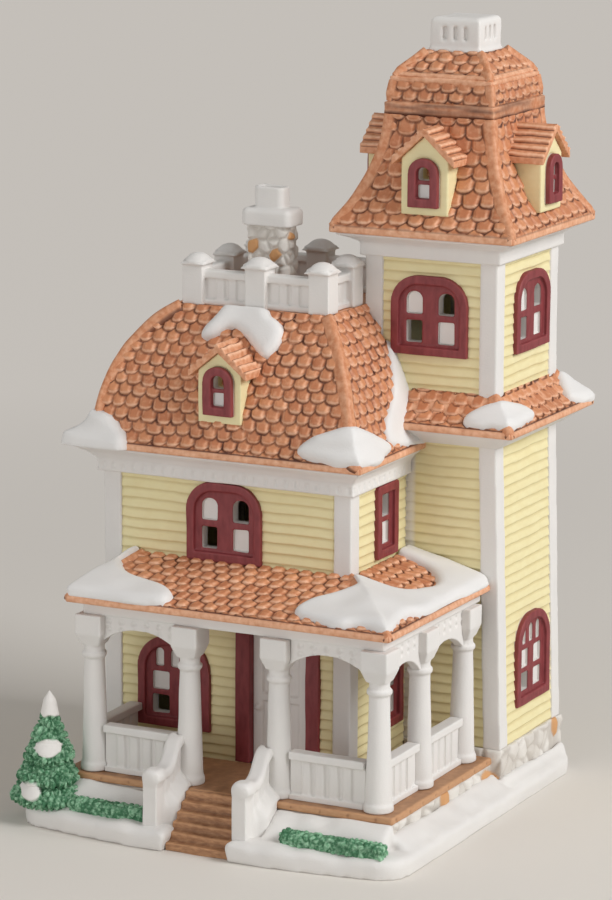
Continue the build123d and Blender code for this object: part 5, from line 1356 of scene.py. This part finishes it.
plastic = lamp_finish("moulded_plastic", paint(230, 228, 220), paint(214, 211, 202), 4 * mm, 0.4)
steel = lamp_finish("spring_steel", paint(208, 208, 208), paint(176, 176, 179), 2 * mm, 0.26, metallic=1.0)
brass = lamp_finish("bulb_brass", paint(220, 188, 126), paint(186, 150, 92), 2 * mm, 0.26, metallic=1.0)
glass = lamp_finish("bulb_glass", paint(250, 250, 247), paint(240, 242, 240), 6 * mm, 0.03, clear=1.0)
cover_cad("lamp_holder", plastic)
cover_cad("lamp_springs", steel)

screw_low, screw_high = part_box("bulb_cap")
screw_half = (screw_high.x - screw_low.x) / 2
thread = np.arange(screw_low.y + 0.8 * mm, screw_high.y - 3.2 * mm, 0.25 * mm)
screw_profile = [(0.05 * mm, screw_low.y, 0), (screw_half - 0.4 * mm, screw_low.y, 0)]
screw_profile += [(screw_half, along, 1) for along in thread]
screw_profile += [
    (screw_half - 0.6 * mm, screw_high.y - 2.9 * mm, 0), (3.3 * mm, screw_high.y - 1.3 * mm, 0),
    (2.5 * mm, screw_high.y - 1.2 * mm, 0), (2.3 * mm, screw_high.y - 0.2 * mm, 0),
    (0.05 * mm, screw_high.y, 0)]
screw_piece = turned("bulb_screw_cap", screw_profile, thread_pitch, thread_depth)
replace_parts(place_piece(screw_piece, brass, "bulb"), "bulb_cap")

shell_low, shell_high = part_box("bulb_glass")
shell_half = (shell_high.x - shell_low.x) / 2
swell = np.array([
    (0.49, 1.0), (0.56, 0.95), (0.74, 0.84), (0.9, 0.73), (0.98, 0.64), (1.0, 0.57), (0.97, 0.49),
    (0.88, 0.38), (0.74, 0.27), (0.58, 0.16), (0.42, 0.08), (0.28, 0.03), (0.14, 0.006), (0.02, 0.0)])
fine = np.linspace(0, len(swell) - 1, 60)
outer = np.stack([np.interp(fine, np.arange(len(swell)), swell[:, column]) for column in (0, 1)], axis=1)
outer = outer * (shell_half, shell_high.y - shell_low.y) + (0, shell_low.y)
inner = np.stack([np.maximum(outer[:, 0] - glass_wall, 0.05 * mm), outer[:, 1] + glass_wall], axis=1)
inner[0, 1] = shell_high.y
shell_profile = [(radius, along, 0) for radius, along in np.concatenate([outer, inner[::-1]])]
shell_piece = turned("bulb_shell", shell_profile[::-1])
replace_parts(place_piece(shell_piece, glass, "bulb"), "bulb_glass")
for side in (-1, 1):
    post = np.linspace(0, 1, 20)
    spread = lamp_axis.x + side * (lead_foot + (filament_half - lead_foot) * post)
    lead = np.stack([spread, shell_high.y - lead_length * post, lamp_axis.z + 0 * post], axis=1)
    place_piece(wire(f"bulb_lead_{side + 1}", lead), brass, "bulb")
coil = np.linspace(0, 1, 240)
coil_turn = 2 * math.pi * filament_loops * coil
loops = np.stack([
    lamp_axis.x + filament_half * (2 * coil - 1),
    shell_high.y - lead_length + filament_radius * np.cos(coil_turn),
    lamp_axis.z + filament_radius * np.sin(coil_turn)], axis=1)
place_piece(wire("bulb_filament", loops), steel, "bulb")

# The floor, the light and the camera
# A plain pale sweep of paper under and behind the house, a large soft light from the right, weaker ones
# from the front and from above, and the camera at the photograph's angle.
paper_colour = paint(226, 221, 214)
backdrop_colour = paint(190, 185, 179)
sweep_start = 0.16
sweep_fade = 0.5
floor_reach = 6.0
view_azimuth = math.radians(26.52)
view_elevation = math.radians(11.35)
view_roll = math.radians(0.28)
view_target = Vector((0, 0, 0.115))
view_distance = 1.1418
lens_pixels = 3828.5
picture_width, picture_height = 612, 900
axis_pixel = (305.18, 423.85)

floor_mesh = bpy.data.meshes.new("floor")
corner = floor_reach / 2
floor_corners = [(-corner, -corner, 0), (corner, -corner, 0), (corner, corner, 0), (-corner, corner, 0)]
floor_mesh.from_pydata(floor_corners, [], [(0, 1, 2, 3)])
floor = set_out("floor", floor_mesh)
paper = surface("paper")
spot = paper.node("ShaderNodeTexCoord", {}, {}, "Object")
distance = paper.node("ShaderNodeVectorMath", {"operation": "LENGTH"}, {0: spot}, "Value")
away = ((distance - sweep_start) / sweep_fade).held()
black = (0, 0, 0, 1)
paper.plug(paper.blend(away, black, backdrop_colour), paper.shader.inputs["Emission Color"])
paper.shader.inputs["Emission Strength"].default_value = 1.0
floor_mesh.materials.append(paper.lay(paper.blend(away, paper_colour, black), 0.9))

studio = Finish(bpy.data.worlds.new("studio"))
bpy.context.scene.world = studio.owner
backdrop = studio.node("ShaderNodeBackground", {}, {"Color": backdrop_colour, "Strength": 1.0})
ambient = studio.node("ShaderNodeBackground", {}, {"Color": (1.0, 0.98, 0.95, 1.0), "Strength": 0.32})
seen = [
    studio.node("ShaderNodeLightPath", {}, {}, kind)
    for kind in ("Is Camera Ray", "Is Glossy Ray", "Is Transmission Ray")]
in_sight = (seen[0] + seen[1] + seen[2]).held()
choice = studio.node("ShaderNodeMixShader", {}, {0: in_sight, 1: ambient, 2: backdrop})
studio.plug(choice, studio.tree.nodes["World Output"].inputs["Surface"])


def soft_light(name, place, size, power):
    lamp = bpy.data.lights.new(name, "AREA")
    lamp.size, lamp.energy = size, power
    lamp_object = set_out(name, lamp)
    lamp_object.location = place
    lamp_object.rotation_euler = (view_target - Vector(place)).to_track_quat("-Z", "Y").to_euler()


soft_light("right_light", (1.3, -0.05, 0.9), 0.7, 17.5)
soft_light("front_light", (-0.3, -1.5, 0.16), 0.9, 7.6)
soft_light("top_light", (-0.4, -1.0, 1.3), 0.9, 1.2)

camera_data = bpy.data.cameras.new("camera")
camera_data.sensor_width = 36.0
camera_data.lens = lens_pixels / picture_height * camera_data.sensor_width
camera_data.shift_x = (picture_width / 2 - axis_pixel[0]) / picture_height
camera_data.shift_y = (axis_pixel[1] - picture_height / 2) / picture_height
camera = set_out("camera", camera_data)
toward = Vector((
    math.sin(view_azimuth) * math.cos(view_elevation), -math.cos(view_azimuth) * math.cos(view_elevation),
    math.sin(view_elevation)))
camera.location = view_target + view_distance * toward
turn = (-toward).to_track_quat("-Z", "Y") @ Quaternion((0, 0, 1), view_roll)
camera.rotation_euler = turn.to_euler()
bpy.context.scene.camera = camera
bpy.context.scene.view_settings.view_transform = "Standard"
